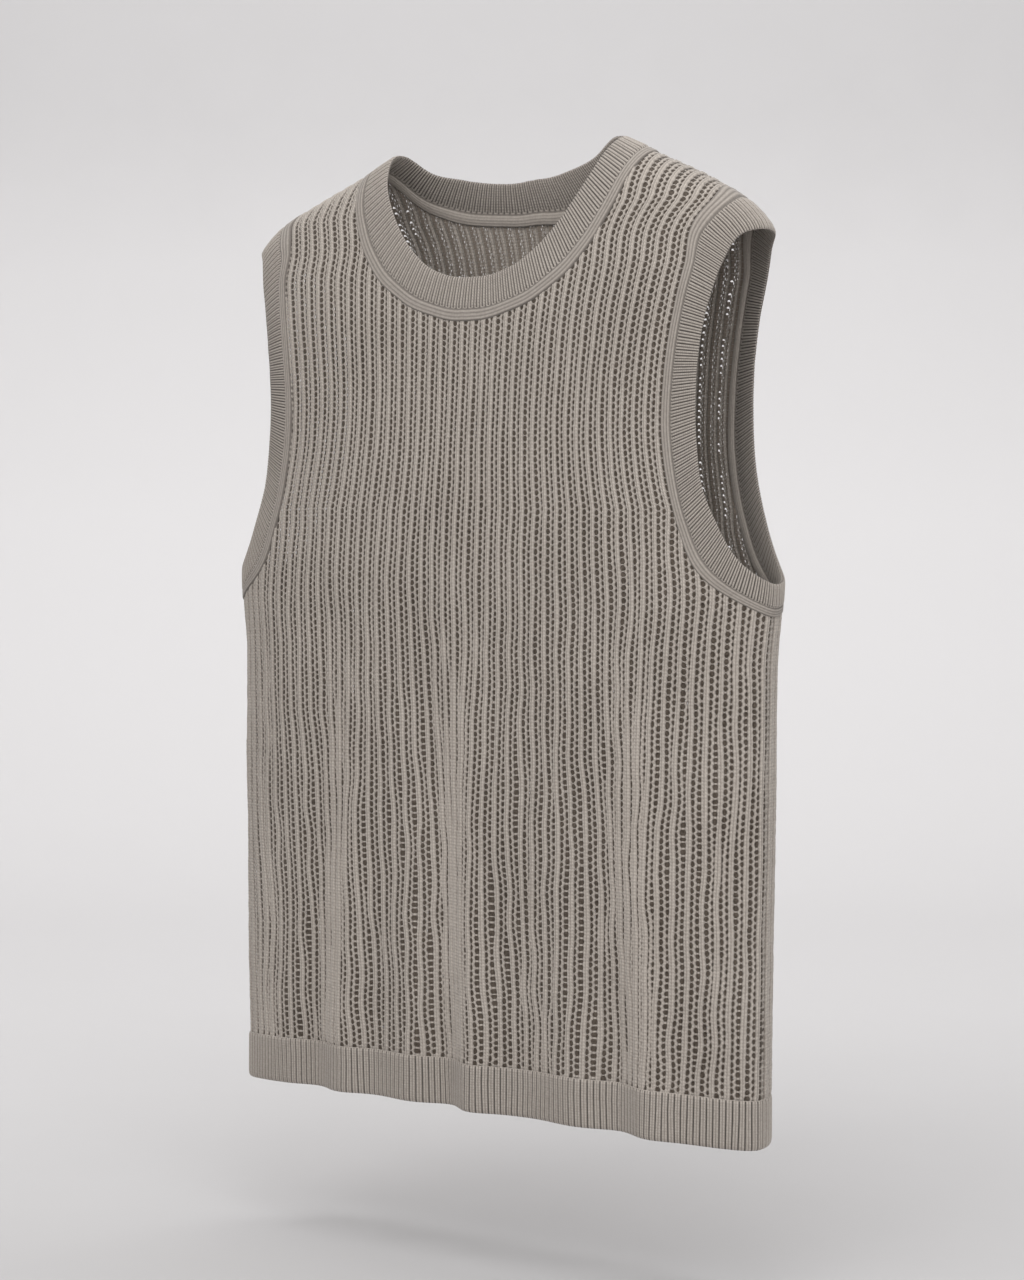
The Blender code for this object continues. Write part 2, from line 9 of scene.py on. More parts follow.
import bpy
import numpy as np
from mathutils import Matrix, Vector


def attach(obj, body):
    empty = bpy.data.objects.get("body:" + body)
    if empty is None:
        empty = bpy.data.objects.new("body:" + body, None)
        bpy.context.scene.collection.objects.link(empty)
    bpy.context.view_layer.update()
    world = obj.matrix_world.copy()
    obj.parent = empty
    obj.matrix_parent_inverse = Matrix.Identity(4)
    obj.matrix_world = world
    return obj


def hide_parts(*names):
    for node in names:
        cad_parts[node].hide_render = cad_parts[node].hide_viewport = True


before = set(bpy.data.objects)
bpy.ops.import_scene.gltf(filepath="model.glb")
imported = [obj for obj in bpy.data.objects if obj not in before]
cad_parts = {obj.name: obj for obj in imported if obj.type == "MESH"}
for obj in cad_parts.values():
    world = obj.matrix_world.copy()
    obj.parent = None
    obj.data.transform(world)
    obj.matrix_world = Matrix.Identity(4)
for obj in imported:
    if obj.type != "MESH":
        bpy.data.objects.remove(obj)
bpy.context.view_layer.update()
scene = bpy.context.scene

HOLD_HEIGHT = 0.628  # hem edge up to the shoulder mount
FRONT = -1
BACK = 1
MM = 0.001

# ---- worn form
# Horizontal sections of the form, from the hem edge up.
SECTION_COLUMNS = ("height", "half_width", "front_y", "back_y", "side_y", "squareness")
SECTIONS = np.array([
    (0, 0.2085, -0.05, 0.034, -0.02, 5),
    (0.1, 0.2093, -0.052, 0.037, -0.0195, 4.8),
    (0.2, 0.2103, -0.0545, 0.04, -0.0185, 4.4),
    (0.3, 0.2108, -0.057, 0.0435, -0.0175, 3.8),
    (0.354, 0.2152, -0.0575, 0.0455, -0.017, 3.5),
    (0.42, 0.213, -0.054, 0.0475, -0.0155, 3.7),
    (0.47, 0.2125, -0.0505, 0.048, -0.013, 4.4),
    (0.52, 0.212, -0.047, 0.046, -0.0105, 5.6),
    (0.55, 0.211, -0.043, 0.043, -0.0085, 5.8),
    (0.576, 0.2062, -0.0375, 0.0385, -0.006, 5.2),
    (0.5926, 0.192, -0.0335, 0.0345, -0.0035, 4.2),
    (0.6278, 0.1154, -0.0255, 0.023, 0, 2.6),
    (0.639, 0.091, -0.023, 0.018, 0, 2.4),
    (0.655, 0.056, -0.0195, 0.012, 0, 2.2),
    (0.664, 0.03, -0.017, 0.008, 0, 2.2),
    (0.668, 0.004, -0.015, 0.007, 0, 2.2),
])
FORM_TOP = SECTIONS[-1, 0]
FULLEST = 0.42  # above this height the sides only draw in

# Hanging folds of the lower part: a trough and a crest on either side of x.
# A row is x, lean, width, swing and the height where the fold starts.
FOLDS = {
    FRONT: ((-0.118, 0.02, 0.015, 0.0048, 0.33), (-0.005, 0, 0.014, 0.0065, 0.34),
            (0.132, -0.01, 0.015, 0.0055, 0.33), (-0.062, 0.01, 0.018, 0.0022, 0.26),
            (0.07, 0, 0.019, 0.0022, 0.28)),
    BACK: ((-0.13, 0.015, 0.016, -0.005, 0.34), (-0.045, 0, 0.017, -0.006, 0.36),
           (0.055, -0.01, 0.016, -0.0055, 0.33), (0.125, -0.015, 0.015, -0.0045, 0.31)),
}

# Soft creases: a shallow trough (negative depth) or ridge from one point to another.
# A row is the first x and height, the last x and height, width and depth.
CREASES = {
    FRONT: ((0.148, 0.4, 0.098, 0.3, 0.013, -0.0016), (0.17, 0.352, 0.128, 0.255, 0.012, 0.0012),
            (-0.15, 0.405, -0.1, 0.31, 0.013, -0.0015),
            (-0.176, 0.35, -0.14, 0.25, 0.012, 0.0012), (0.02, 0.43, 0.012, 0.29, 0.012, -0.001),
            (-0.03, 0.3, -0.04, 0.12, 0.011, -0.0013), (0.038, 0.28, 0.044, 0.09, 0.011, 0.0014),
            (0.094, 0.24, 0.1, 0.06, 0.01, -0.0013), (-0.085, 0.22, -0.09, 0.06, 0.01, 0.0013),
            (0.17, 0.26, 0.176, 0.08, 0.011, 0.0012), (-0.165, 0.2, -0.17, 0.07, 0.01, -0.0012)),
    BACK: ((0.15, 0.41, 0.105, 0.3, 0.013, -0.0016), (-0.15, 0.41, -0.098, 0.29, 0.013, -0.0014),
           (0.01, 0.47, 0, 0.3, 0.014, -0.0012), (0.085, 0.3, 0.092, 0.11, 0.012, 0.0014),
           (-0.09, 0.28, -0.086, 0.1, 0.012, -0.0014), (0.02, 0.26, 0.014, 0.08, 0.011, 0.0013),
           (-0.168, 0.26, -0.16, 0.09, 0.011, 0.0012), (0.165, 0.23, 0.172, 0.08, 0.011, -0.0012)),
}

# ---- seam lines
# A row is (distance from the middle, height above the hem edge); None stands
# for "on the shoulder line" or "on the side line" at the other value.
NECK_SEAM_FRONT = ((0, 0.5232), (0.022, 0.5255), (0.0436, 0.532), (0.0556, 0.538),
                   (0.0745, 0.551), (0.088, 0.566), (0.0972, 0.5805), (0.1072, 0.603),
                   (0.1143, None))
NECK_SEAM_BACK = ((0, 0.5915), (0.04, 0.5925), (0.075, 0.5985), (0.1, 0.6115), (0.1143, None))
NECK_EDGE_FRONT = ((0, 0.551), (0.018, 0.5526), (0.035, 0.5585), (0.05, 0.5692),
                   (0.0635, 0.5835), (0.076, 0.602), (0.0853, 0.621), (0.0908, None))
NECK_EDGE_BACK = ((0, 0.6196), (0.03, 0.6213), (0.055, 0.6268), (0.08, 0.635), (0.0908, None))
NECK_TILT = 0.075  # slope of the back edge, which rises towards the wearer's left
ARM_SEAM_FRONT = ((0.1715, None), (0.1656, 0.5805), (0.1628, 0.552), (0.155, 0.508),
                  (0.151, 0.4644), (0.153, 0.4331), (0.164, 0.3896), (0.177, 0.3618),
                  (0.1955, 0.3465), (None, 0.334))
ARM_SEAM_BACK = ((0.1715, None), (0.166, 0.582), (0.158, 0.545), (0.15, 0.51),
                 (0.1465, 0.48), (0.146, 0.45), (0.149, 0.425), (0.158, 0.392),
                 (0.174, 0.362), (0.194, 0.345), (None, 0.334))
ARM_EDGE_FRONT = ((None, 0.5765), (0.1985, 0.574), (0.1932, 0.568), (0.1858, 0.55),
                  (0.179, 0.526), (0.174, 0.495), (0.1726, 0.4641), (0.174, 0.4392),
                  (0.1777, 0.4144), (0.1852, 0.3958), (0.1963, 0.3742), (0.2065, 0.362),
                  (None, 0.354))
ARM_EDGE_BACK = ((None, 0.5765), (0.1985, 0.5725), (0.19, 0.5655), (0.181, 0.55),
                 (0.1715, 0.524), (0.1665, 0.495), (0.1665, 0.465), (0.169, 0.44),
                 (0.1763, 0.41), (0.1893, 0.38), (0.203, 0.362), (None, 0.354))
HEM_BAND = 0.031  # height of the hem rib
HEM_RISE = 0.005  # the front hem hangs this much higher in the middle

# ---- knit
LAST = 50  # knit lines in half a panel; odd ones carry the broad ribs
INNER = 36  # lines that pass between the armhole seams
FAN_TOP = 0.4  # below this height the lines fan out to the side
BLEND_TOP = 0.48  # above this height the lines are even in x
ARM_TOP = 0.6  # the armhole seams are followed up to this height
ROW_PITCH = 4.25 * MM  # one large hole and its rung
ROW_STEPS = np.array([0, 0.24, 0.5, 0.76])  # rung, then hole, in shares of a row
FIRST_ROW = 0.27  # the first row starts at the foot of a hole
REPEAT = 9 * MM  # a broad rib, its large holes, a slim rib and its slits
BROAD_RIB = 3.3 * MM
SLIM_RIB = 1.9 * MM
SLIT = 1.3 * MM
LEAST_HOLE = 0.5 * MM
RIB_BASE = -0.42 * MM  # heights out of the form
BROAD_CREST = 1 * MM
BROAD_GROOVE = 0.5 * MM
SLIM_CREST = 0.68 * MM
BEHIND = 0.04 * MM  # the inner yarn, dark as painted shade, lies this far behind the holes' edges
LONGEST_EDGE = 7.5 * MM  # faces that would reach further across a gap are left out

# Lines where a fold presses the ribs together, in knit lines from the middle.
# A row is line, lean, width, strength and the height where the press starts.
PRESSES = {
    FRONT: ((-27, 5, 4.2, 0.34, 0.345), (-2, 0, 4.4, 0.4, 0.36),
            (30.5, -3, 5, 0.36, 0.35), (-42, 2, 3.2, 0.2, 0.2),
            (13, 0, 3, 0.16, 0.22)),
    BACK: ((-30, 4, 4.5, 0.34, 0.35), (-11, 0, 4.2, 0.3, 0.33),
           (12, -2, 4.5, 0.36, 0.35), (31, -3, 4.6, 0.3, 0.32)),
}

# ---- ribbed bands
NECK_RIBS = 132
ARM_RIBS = 162
HEM_RIBS = 114
RIB_DEPTH = 0.62 * MM
STITCHED_WIDTH = 0.026  # width of the neck and arm bands that the stitch rows are spread over
# One rib is two wales: position along it, height in rib depths, and position in the wale.
BAND_RIB = ((0, -1.9, 2), (0.12, 0, 1.6), (0.27, 0.6, 1),
            (0.5, -1.45, 0.05), (0.73, 0.6, 1), (0.88, 0, 1.6))
HEM_RIB = ((0, -2, 2), (0.13, 0, 1.55), (0.27, 0.6, 1),
           (0.5, -0.8, 0.35), (0.73, 0.6, 1), (0.87, 0, 1.55))
# Round a band's section: share of the way to the free edge, mm out, share of rib depth.
BAND_RINGS = (
    (-0.04, 0.2, 0), (-0.02, 1, 0), (0.02, 1.4, 0), (0.055, 1, 0), (0.095, 1.4, 0),
    (0.135, 1, 0), (0.175, 1.4, 0), (0.215, 1, 0.1), (0.24, 0.2, 0.2), (0.266, 0.9, 0.8),
    (0.33, 1.2, 1), (0.56, 1.2, 1), (0.8, 1.2, 1), (0.93, 1.1, 1), (0.982, 0.6, 0.8),
    (1, -0.1, 0.5), (0.982, -0.7, 0.8), (0.92, -1.1, 1), (0.6, -1.2, 1), (0.3, -1.1, 1),
    (0.24, -0.4, 0.2), (0.205, -1.3, 0), (0.1, -1.5, 0), (0, -1.3, 0), (-0.04, -0.8, 0),
)
HEM_RINGS = (
    (-0.015, 0, 0.1), (0, 0.7, 0.4), (0.06, 1, 1), (0.35, 1.1, 1), (0.65, 1.2, 1),
    (0.88, 1.3, 1), (0.95, 1.1, 0.9), (0.985, 0.6, 0.7), (1, -0.1, 0.4), (0.985, -0.7, 0.7),
    (0.94, -1.2, 0.9), (0.6, -1.1, 1), (0.2, -1, 1), (0, -0.8, 0.4), (-0.015, -0.4, 0.1),
)


def through(at, knots, values):
    """Smooth curve through a short table, without overshoot."""
    at = np.clip(at, knots[0], knots[-1])
    slope = np.diff(values) / np.diff(knots)
    tangent = np.zeros(len(values))
    both = slope[1:] + slope[:-1]
    both = np.where(np.abs(both) < 1e-12, 1e-12, both)
    same_way = slope[1:] * slope[:-1] > 0
    tangent[1:-1] = np.where(same_way, 2 * slope[1:] * slope[:-1] / both, 0)
    tangent[0] = slope[0]
    tangent[-1] = slope[-1]
    k = np.clip(np.searchsorted(knots, at) - 1, 0, len(knots) - 2)
    step = knots[k + 1] - knots[k]
    t = (at - knots[k]) / step
    start = (2 * t**3 - 3 * t**2 + 1) * values[k] + (t**3 - 2 * t**2 + t) * step * tangent[k]
    end = (3 * t**2 - 2 * t**3) * values[k + 1] + (t**3 - t**2) * step * tangent[k + 1]
    return start + end


FINE_HEIGHTS = np.linspace(0, FORM_TOP, 6681)
FINE = {name: through(FINE_HEIGHTS, SECTIONS[:, 0], SECTIONS[:, column])
        for column, name in enumerate(SECTION_COLUMNS)}


def sized(height, name):
    """One column of the section table at any height."""
    return np.interp(height, FINE_HEIGHTS, FINE[name])


SHOULDER_HEIGHTS = np.linspace(FORM_TOP, FULLEST, 6000)
SHOULDER_WIDTHS = sized(SHOULDER_HEIGHTS, "half_width")
WIDEST = int(np.argmax(SHOULDER_WIDTHS))


def shoulder_height(x):
    """Height of the shoulder line at a distance from the middle."""
    return np.interp(np.abs(x), SHOULDER_WIDTHS[:WIDEST], SHOULDER_HEIGHTS[:WIDEST])


def eased(t):
    """From 0 to 1 with level ends, and flat beyond them."""
    t = np.clip(t, 0, 1)
    return t * t * (3 - 2 * t)


LATTICE = 128  # random values along each side of a wander's grid
PAST_ZERO = 500  # keeps places on the grid above zero


def wander(seed, across, along, size_across, size_along):
    """Smooth seeded noise from -1 to 1 over two coordinates."""
    a = across / size_across + PAST_ZERO
    b = along / size_along + PAST_ZERO
    lattice = np.random.default_rng(seed).uniform(-1, 1, (LATTICE, LATTICE))
    i = np.floor(a).astype(int)
    j = np.floor(b).astype(int)
    u = eased(a - i)
    v = eased(b - j)
    i0, i1 = i % LATTICE, (i + 1) % LATTICE
    j0, j1 = j % LATTICE, (j + 1) % LATTICE
    low = lattice[i0, j0] * (1 - u) + lattice[i1, j0] * u
    high = lattice[i0, j1] * (1 - u) + lattice[i1, j1] * u
    return low * (1 - v) + high * v


def folded(x, height, side):
    """How far the hanging folds push the wall out."""
    total = 0
    for at_x, lean, width, swing, starts_at in FOLDS[side]:
        t = (x - at_x - lean * height / starts_at) / width
        grown = eased((starts_at - height) / starts_at)
        total = total + swing * grown * t * np.exp(0.5 - 0.5 * t * t)
    return total


def creased(x, height, side):
    """How far the soft creases lift or sink the cloth."""
    total = 0
    for x0, h0, x1, h1, width, depth_there in CREASES[side]:
        dx, dh = x1 - x0, h1 - h0
        along = ((x - x0) * dx + (height - h0) * dh) / (dx * dx + dh * dh)
        bend = 0.004 * np.sin(7 * along + 40 * x0)
        off = ((x - x0) * dh - (height - h0) * dx) / math.hypot(dx, dh) + bend
        ends = eased(along / 0.35 + 0.4) * eased((1 - along) / 0.35 + 0.4)
        total = total + depth_there * ends * np.exp(-0.5 * (off / width) ** 2)
    return total


def depth(x, height, side):
    """Signed depth of the section from its side line to the middle of a side."""
    name = "front_y" if side == FRONT else "back_y"
    return sized(height, name) - sized(height, "side_y") + side * folded(x, height, side)


def on_form(x, height, side):
    """Point of the form at a distance from the middle and a height."""
    across = np.clip(np.abs(x) / sized(height, "half_width"), 0, 1)
    swell = np.sqrt(np.maximum(1 - across ** sized(height, "squareness"), 0))
    return np.stack([x, sized(height, "side_y") + depth(x, height, side) * swell, height], -1)


def fullness(x, y, height, side):
    """One on the form, more outside it."""
    across = np.abs(x) / sized(height, "half_width")
    deep = (y - sized(height, "side_y")) / depth(x, height, side)
    return across ** sized(height, "squareness") + deep ** 2


def outward(points, side):
    """Unit normals of the form."""
    x, y, z = np.moveaxis(points, -1, 0)
    grown = [fullness(x + a, y + b, z + c, side) - fullness(x - a, y - b, z - c, side)
             for a, b, c in np.eye(3) * 2e-4]
    grown = np.stack(grown, -1)
    return grown / np.linalg.norm(grown, axis=-1, keepdims=True)


def hem_rise(x, side):
    """The hem edge hangs level at the sides and a little higher at the front."""
    if side == BACK:
        return np.zeros(np.shape(x))
    return HEM_RISE * (1 - (np.abs(x) / SECTIONS[0, 1]) ** 4)


SPAN_STEPS = 40  # points from one knot of a closed curve to the next
SPAN_WEIGHTS = np.array([1, 0.35])  # of the two flat coordinates in a span's length


def span(start, end):
    """Root of the weighted distance between two knots."""
    return np.linalg.norm((end - start) * SPAN_WEIGHTS) ** 0.5


def closed_curve(knots):
    """Smooth closed curve through flat knots, finely sampled."""
    knots = np.array(knots, dtype=float)
    count = len(knots)
    t = np.linspace(0, 1, SPAN_STEPS, endpoint=False)[:, None]
    pieces = []
    for i in range(count):
        p0, p1, p2, p3 = knots[i - 1], knots[i], knots[(i + 1) % count], knots[(i + 2) % count]
        d1, d2, d3 = span(p0, p1), span(p1, p2), span(p2, p3)
        m1 = (p2 - p1) + d2 * ((p1 - p0) / d1 - (p2 - p0) / (d1 + d2))
        m2 = (p2 - p1) + d2 * ((p3 - p2) / d3 - (p3 - p1) / (d2 + d3))
        pieces.append((2 * t**3 - 3 * t**2 + 1) * p1 + (t**3 - 2 * t**2 + t) * m1
                      + (3 * t**2 - 2 * t**3) * p2 + (t**3 - t**2) * m2)
    return np.concatenate(pieces)


def neck_loop(front, back, tilt=0):
    """Loop through (x, root of the drop below the shoulder line; + front, - back)."""
    half_front = [(x, 0 if z is None else np.sqrt(shoulder_height(x) - z)) for x, z in front]
    loop = [(-x, m) for x, m in half_front[:0:-1]] + half_front
    behind = list(back[-2::-1]) + [(-x, z) for x, z in back[1:-1]]
    loop += [(x, -np.sqrt(shoulder_height(x) - z - tilt * x)) for x, z in behind]
    return halves(loop, neck_points, 2 * len(front) - 2)


def on_both_sides(x, height, root):
    """Points of the form, in front where root is above zero, and the side each is on."""
    points = np.where(root[:, None] > 0, on_form(x, height, FRONT), on_form(x, height, BACK))
    return points, np.where(root > 0, FRONT, BACK)


def neck_points(flat):
    """Points of the form from neck coordinates, and the side each is on."""
    x, root = flat.T
    return on_both_sides(x, shoulder_height(x) - root**2, root)


def arm_loop(front, back):
    """Loop through (height, root of the distance in from the side line; + front, - back)."""
    loop = []
    for rows, sign in ((front, 1), (back[-2:0:-1], -1)):
        for x, z in rows:
            if z is None:
                loop.append((float(shoulder_height(x)), 0))
            elif x is None:
                loop.append((z, 0))
            else:
                loop.append((z, sign * np.sqrt(sized(z, "half_width") - x)))
    return halves(loop, arm_points, len(front) - 1)


def arm_points(flat):
    """Points of the form from armhole coordinates, and the side each is on."""
    height, root = flat.T
    return on_both_sides(sized(height, "half_width") - root**2, height, root)


def run(points):
    """Distance along a string of points."""
    return np.concatenate([[0], np.cumsum(np.linalg.norm(np.diff(points, axis=0), axis=1))])


class Half:
    """One of the two halves of a closed loop, front or back, with its length."""

    def __init__(self, flat, place):
        self.flat = flat
        length = run(place(flat)[0])
        self.length = length[-1]
        self.share = length / length[-1]

    def at(self, share):
        """Flat coordinates at a share of the length."""
        return np.stack([np.interp(share, self.share, part) for part in self.flat.T], -1)


def halves(knots, place, front_count):
    """Split a closed curve at its first knot and after front_count knots."""
    curve = closed_curve(knots)
    cut = front_count * SPAN_STEPS
    return Half(curve[:cut + 1], place), Half(np.vstack([curve[cut:], curve[:1]]), place)


NECK_SEAM = neck_loop(NECK_SEAM_FRONT, NECK_SEAM_BACK)
NECK_EDGE = neck_loop(NECK_EDGE_FRONT, NECK_EDGE_BACK, NECK_TILT)
ARM_SEAM = arm_loop(ARM_SEAM_FRONT, ARM_SEAM_BACK)
ARM_EDGE = arm_loop(ARM_EDGE_FRONT, ARM_EDGE_BACK)


def armhole_x(height, side):
    """Distance of the armhole seam from the middle at a height."""
    heights, root = ARM_SEAM[0 if side == FRONT else 1].flat.T
    x = sized(heights, "half_width") - root**2
    order = np.argsort(heights)
    return np.interp(height, heights[order], x[order])


def neck_height(x, side):
    """Height of the neck seam at a distance from the middle."""
    at, root = NECK_SEAM[0 if side == FRONT else 1].flat.T
    at = np.abs(at)
    height = shoulder_height(at) - root**2
    order = np.argsort(at)
    return np.interp(np.abs(x), at[order], height[order])


class Lines:
    """Where the lines of the knit run on one side of the form."""

    ARMPIT = ARM_SEAM_FRONT[-1][1]

    def __init__(self, side, seed, drift_seed):
        self.side = side
        self.seed = seed
        self.drift_seed = drift_seed
        self.heights = np.linspace(0, BLEND_TOP, 241)
        places = np.arange(LAST + 1) / LAST
        self.angles = np.array([self.row(height, places) for height in self.heights])
        fan = np.linspace(self.ARMPIT, FAN_TOP, 120)
        met = np.array([self.seam_arc(height) / self.spread(height) for height in fan])
        met = np.minimum.accumulate(met)
        met[0] = 1
        self.fan_places, self.fan_heights = met[::-1] * LAST, fan[::-1]

    def section(self, height):
        """Arc length from the middle against the angle asin(x / half width)."""
        half = float(sized(height, "half_width"))
        angle = np.linspace(0, np.pi / 2, 400)
        points = on_form(half * np.sin(angle), np.full(400, height), self.side)
        return run(points), angle, half

    def seam_arc(self, height):
        """Arc length from the middle to the armhole seam."""
        arc, angle, half = self.section(height)
        return np.interp(math.asin(min(armhole_x(height, self.side) / half, 1)), angle, arc)

    def spread(self, height):
        """Section length that half a panel's lines are spread over."""
        side_arc = self.section(height)[0][-1]
        if height <= self.ARMPIT:
            return side_arc
        seam = self.seam_arc(max(height, FAN_TOP)) * LAST / INNER
        share = float(eased((height - self.ARMPIT) / (FAN_TOP - self.ARMPIT)))
        return (1 - share) * side_arc + share * seam

    def row(self, height, places):
        """Angles of the lines at one height."""
        arc, angle, half = self.section(height)
        found = np.interp(np.minimum(places * self.spread(height), arc[-1]), arc, angle)
        share = float(eased((height - FAN_TOP) / (BLEND_TOP - FAN_TOP)))
        if share > 0:
            even = places * LAST / INNER * armhole_x(height, self.side)
            x = share * even + (1 - share) * half * np.sin(found)
            found = np.arcsin(np.clip(x / half, 0, 1))
        return found

    def x(self, line, height):
        """x of a line of the knit at a height."""
        step = self.heights[1]
        i = np.clip(height / step, 0, len(self.heights) - 1.001)
        j = np.clip(np.abs(line), 0, LAST - 0.001)
        i0, j0 = i.astype(int), j.astype(int)
        u, v = i - i0, j - j0
        low = self.angles[i0, j0] * (1 - v) + self.angles[i0, j0 + 1] * v
        high = self.angles[i0 + 1, j0] * (1 - v) + self.angles[i0 + 1, j0 + 1] * v
        found = sized(height, "half_width") * np.sin(low * (1 - u) + high * u)
        even = np.abs(line) / INNER * armhole_x(np.minimum(height, ARM_TOP), self.side)
        return np.sign(line) * np.where(height >= BLEND_TOP, even, found)

    def presses(self, line, height):
        """Every press on this side: how far a line is off it, and its strength there."""
        for at_line, lean, width, strength, starts_at in PRESSES[self.side]:
            off = line - at_line - lean * height / starts_at
            grown = eased((starts_at - height) / (0.55 * starts_at))
            yield off, strength * grown * np.exp(-0.5 * (off / width) ** 2)

    def drift(self, line, height):
        """Pressed and wavering lines: where a line of the knit really runs."""
        moved = line + 0 * height
        for off, strength in self.presses(line, height):
            moved = moved - strength * off
        loose = 0.25 + 0.75 * eased((0.46 - height) / 0.3)
        calm = eased((LAST - np.abs(line)) / 3) * eased((0.6 - height) / 0.06)
        wave = 0.38 * wander(self.drift_seed, line, height, 6.5, 0.06)
        wave = wave + 0.25 * wander(self.drift_seed + 1, line, height, 2.2, 0.022)
        return moved + wave * loose * calm

    def pressed(self, line, height):
        """How firmly a fold presses the ribs together, from 0 to 1."""
        total = sum(strength for _, strength in self.presses(line, height))
        return np.clip(2.6 * total, 0, 1)

    def width(self, line, height):
        """Width of the knit repeat round a line."""
        low = on_form(self.x(self.drift(line - 1, height), height), height, self.side)
        high = on_form(self.x(self.drift(line + 1, height), height), height, self.side)
        chord = np.linalg.norm(high - low, axis=-1)
        across = 1.1 * np.abs(high[..., 0] - low[..., 0])
        share = eased((height - 0.5) / 0.04)
        return (1 - share) * chord + share * across


LINES = {FRONT: Lines(FRONT, 100, 11), BACK: Lines(BACK, 200, 23)}


# ---- materials
class Nodes:
    """A new material and shorthand for building its node tree."""

    def __init__(self, name, roughness, specular):
        self.material = bpy.data.materials.new(name)
        self.material.use_nodes = True
        self.tree = self.material.node_tree
        self.shader = self.tree.nodes["Principled BSDF"]
        self.shader.inputs["Roughness"].default_value = roughness
        self.shader.inputs["Specular IOR Level"].default_value = specular
        self.place = self.add("ShaderNodeTexCoord")
        grid = self.add("ShaderNodeSeparateXYZ")
        self.link(self.place.outputs["UV"], grid.inputs[0])
        self.u, self.v = grid.outputs[:2]

    def add(self, kind, **settings):
        made = self.tree.nodes.new(kind)
        for name, value in settings.items():
            setattr(made, name, value)
        return made

    def link(self, source, target):
        self.tree.links.new(source, target)

    def math(self, operation, *values):
        made = self.add("ShaderNodeMath", operation=operation)
        for socket, value in zip(made.inputs, values):
            if isinstance(value, (int, float)):
                socket.default_value = value
            else:
                self.link(value, socket)
        return made.outputs[0]

    def noise(self, scale, detail, roughness=0.5):
        """Noise fixed to the object."""
        made = self.add("ShaderNodeTexNoise")
        made.inputs["Scale"].default_value = scale
        made.inputs["Detail"].default_value = detail
        made.inputs["Roughness"].default_value = roughness
        self.link(self.place.outputs["Object"], made.inputs["Vector"])
        return made.outputs[0]

    def mix(self, share, first, second):
        """Mixed colour; first may be a socket or a colour."""
        made = self.add("ShaderNodeMix", data_type="RGBA")
        self.link(share, made.inputs[0])
        if isinstance(first, tuple):
            made.inputs[6].default_value = (*first, 1)
        else:
            self.link(first, made.inputs[6])
        made.inputs[7].default_value = (*second, 1)
        return made.outputs[2]


STITCH_TONE = 0.09  # how far the stitches show in the yarn's colour
GROOVE_TONE = 0.08  # painted shade deep in a groove, as a share of the dark yarn
CHEVRON = 3.6  # slope of the stitches' chevrons


def knit_material(name, dark, light, stitch, stitch_depth, shaded):
    """Matt cotton yarn: stitches in the bump, fibres and a faint marl in the colour, painted shade
    in grooves.
    """
    nodes = Nodes(name, 0.93, 0.25)
    nodes.shader.inputs["Sheen Weight"].default_value = 0.18
    nodes.shader.inputs["Sheen Roughness"].default_value = 0.5
    marl = nodes.noise(620, 3, 0.65)
    wash = nodes.noise(16, 2)
    fibre = nodes.noise(1500, 2)

    # Stitches: chevrons down each wale. UV.x is 1 at a wale's middle, UV.y is in metres.
    off = nodes.math("SUBTRACT", nodes.math("ABSOLUTE", nodes.u), 1)
    off = nodes.math("ABSOLUTE", off)
    phase = nodes.math("MULTIPLY", nodes.v, 2 * math.pi / stitch)
    phase = nodes.math("MULTIPLY_ADD", off, CHEVRON, phase)
    wave = nodes.math("MULTIPLY_ADD", nodes.math("COSINE", phase), 0.5, 0.5)
    amount = nodes.math("MULTIPLY_ADD", marl, 1.8, -0.7)
    amount = nodes.math("MULTIPLY_ADD", wash, 0.5, amount)
    amount = nodes.math("MULTIPLY_ADD", wave, STITCH_TONE, amount)
    yarn = nodes.mix(amount, dark, light)

    # Less light reaches the yarn in the grooves between the wales.
    groove = nodes.math("ABSOLUTE", nodes.math("SUBTRACT", off, 1))
    groove = nodes.math("MAXIMUM", nodes.math("SUBTRACT", 1, groove), 0)
    groove = nodes.math("MULTIPLY", nodes.math("POWER", groove, 1.6), shaded)
    in_groove = nodes.mix(groove, yarn, [GROOVE_TONE * part for part in dark])
    nodes.link(in_groove, nodes.shader.inputs["Base Color"])

    bump = nodes.add("ShaderNodeBump")
    bump.inputs["Strength"].default_value = 1
    bump.inputs["Distance"].default_value = stitch_depth
    nodes.link(nodes.math("MULTIPLY_ADD", fibre, 0.8, wave), bump.inputs["Height"])
    nodes.link(bump.outputs[0], nodes.shader.inputs["Normal"])
    return nodes.material


def painted_light_paper(name, tones, tint):
    """Matt paper, painted light and shade graded along it, the faintest grain; UV.y runs from 0 to
    1 along its length.
    """
    nodes = Nodes(name, 0.9, 0.2)
    amount = nodes.math("MULTIPLY_ADD", nodes.noise(9, 6), 0.02, nodes.v)
    ramp = nodes.add("ShaderNodeValToRGB")
    stops = ramp.color_ramp.elements
    for number, (at, tone) in enumerate(tones):
        stop = stops[number] if number < 2 else stops.new(at)
        stop.position = at
        stop.color = (*[tone * part for part in tint], 1)
    nodes.link(amount, ramp.inputs[0])
    nodes.link(ramp.outputs[0], nodes.shader.inputs["Base Color"])
    return nodes.material


# ---- mesh making
def placed(name, data):
    """A new object in the scene."""
    thing = bpy.data.objects.new(name, data)
    scene.collection.objects.link(thing)
    return thing


SHOULDER_DROP = 0.003  # the left shoulder hangs this much lower and narrower
SHOULDER_DRAW = 0.004


def settled(points):
    """Points with the left shoulder sunk and drawn in a little."""
    x, y, z = points.T
    near = eased((z - 0.535) / 0.045)
    drop = SHOULDER_DROP * near * eased((x - 0.12) / 0.07)
    draw = SHOULDER_DRAW * near * eased((x - 0.15) / 0.05)
    return np.stack([x - draw, y, z - drop], -1)


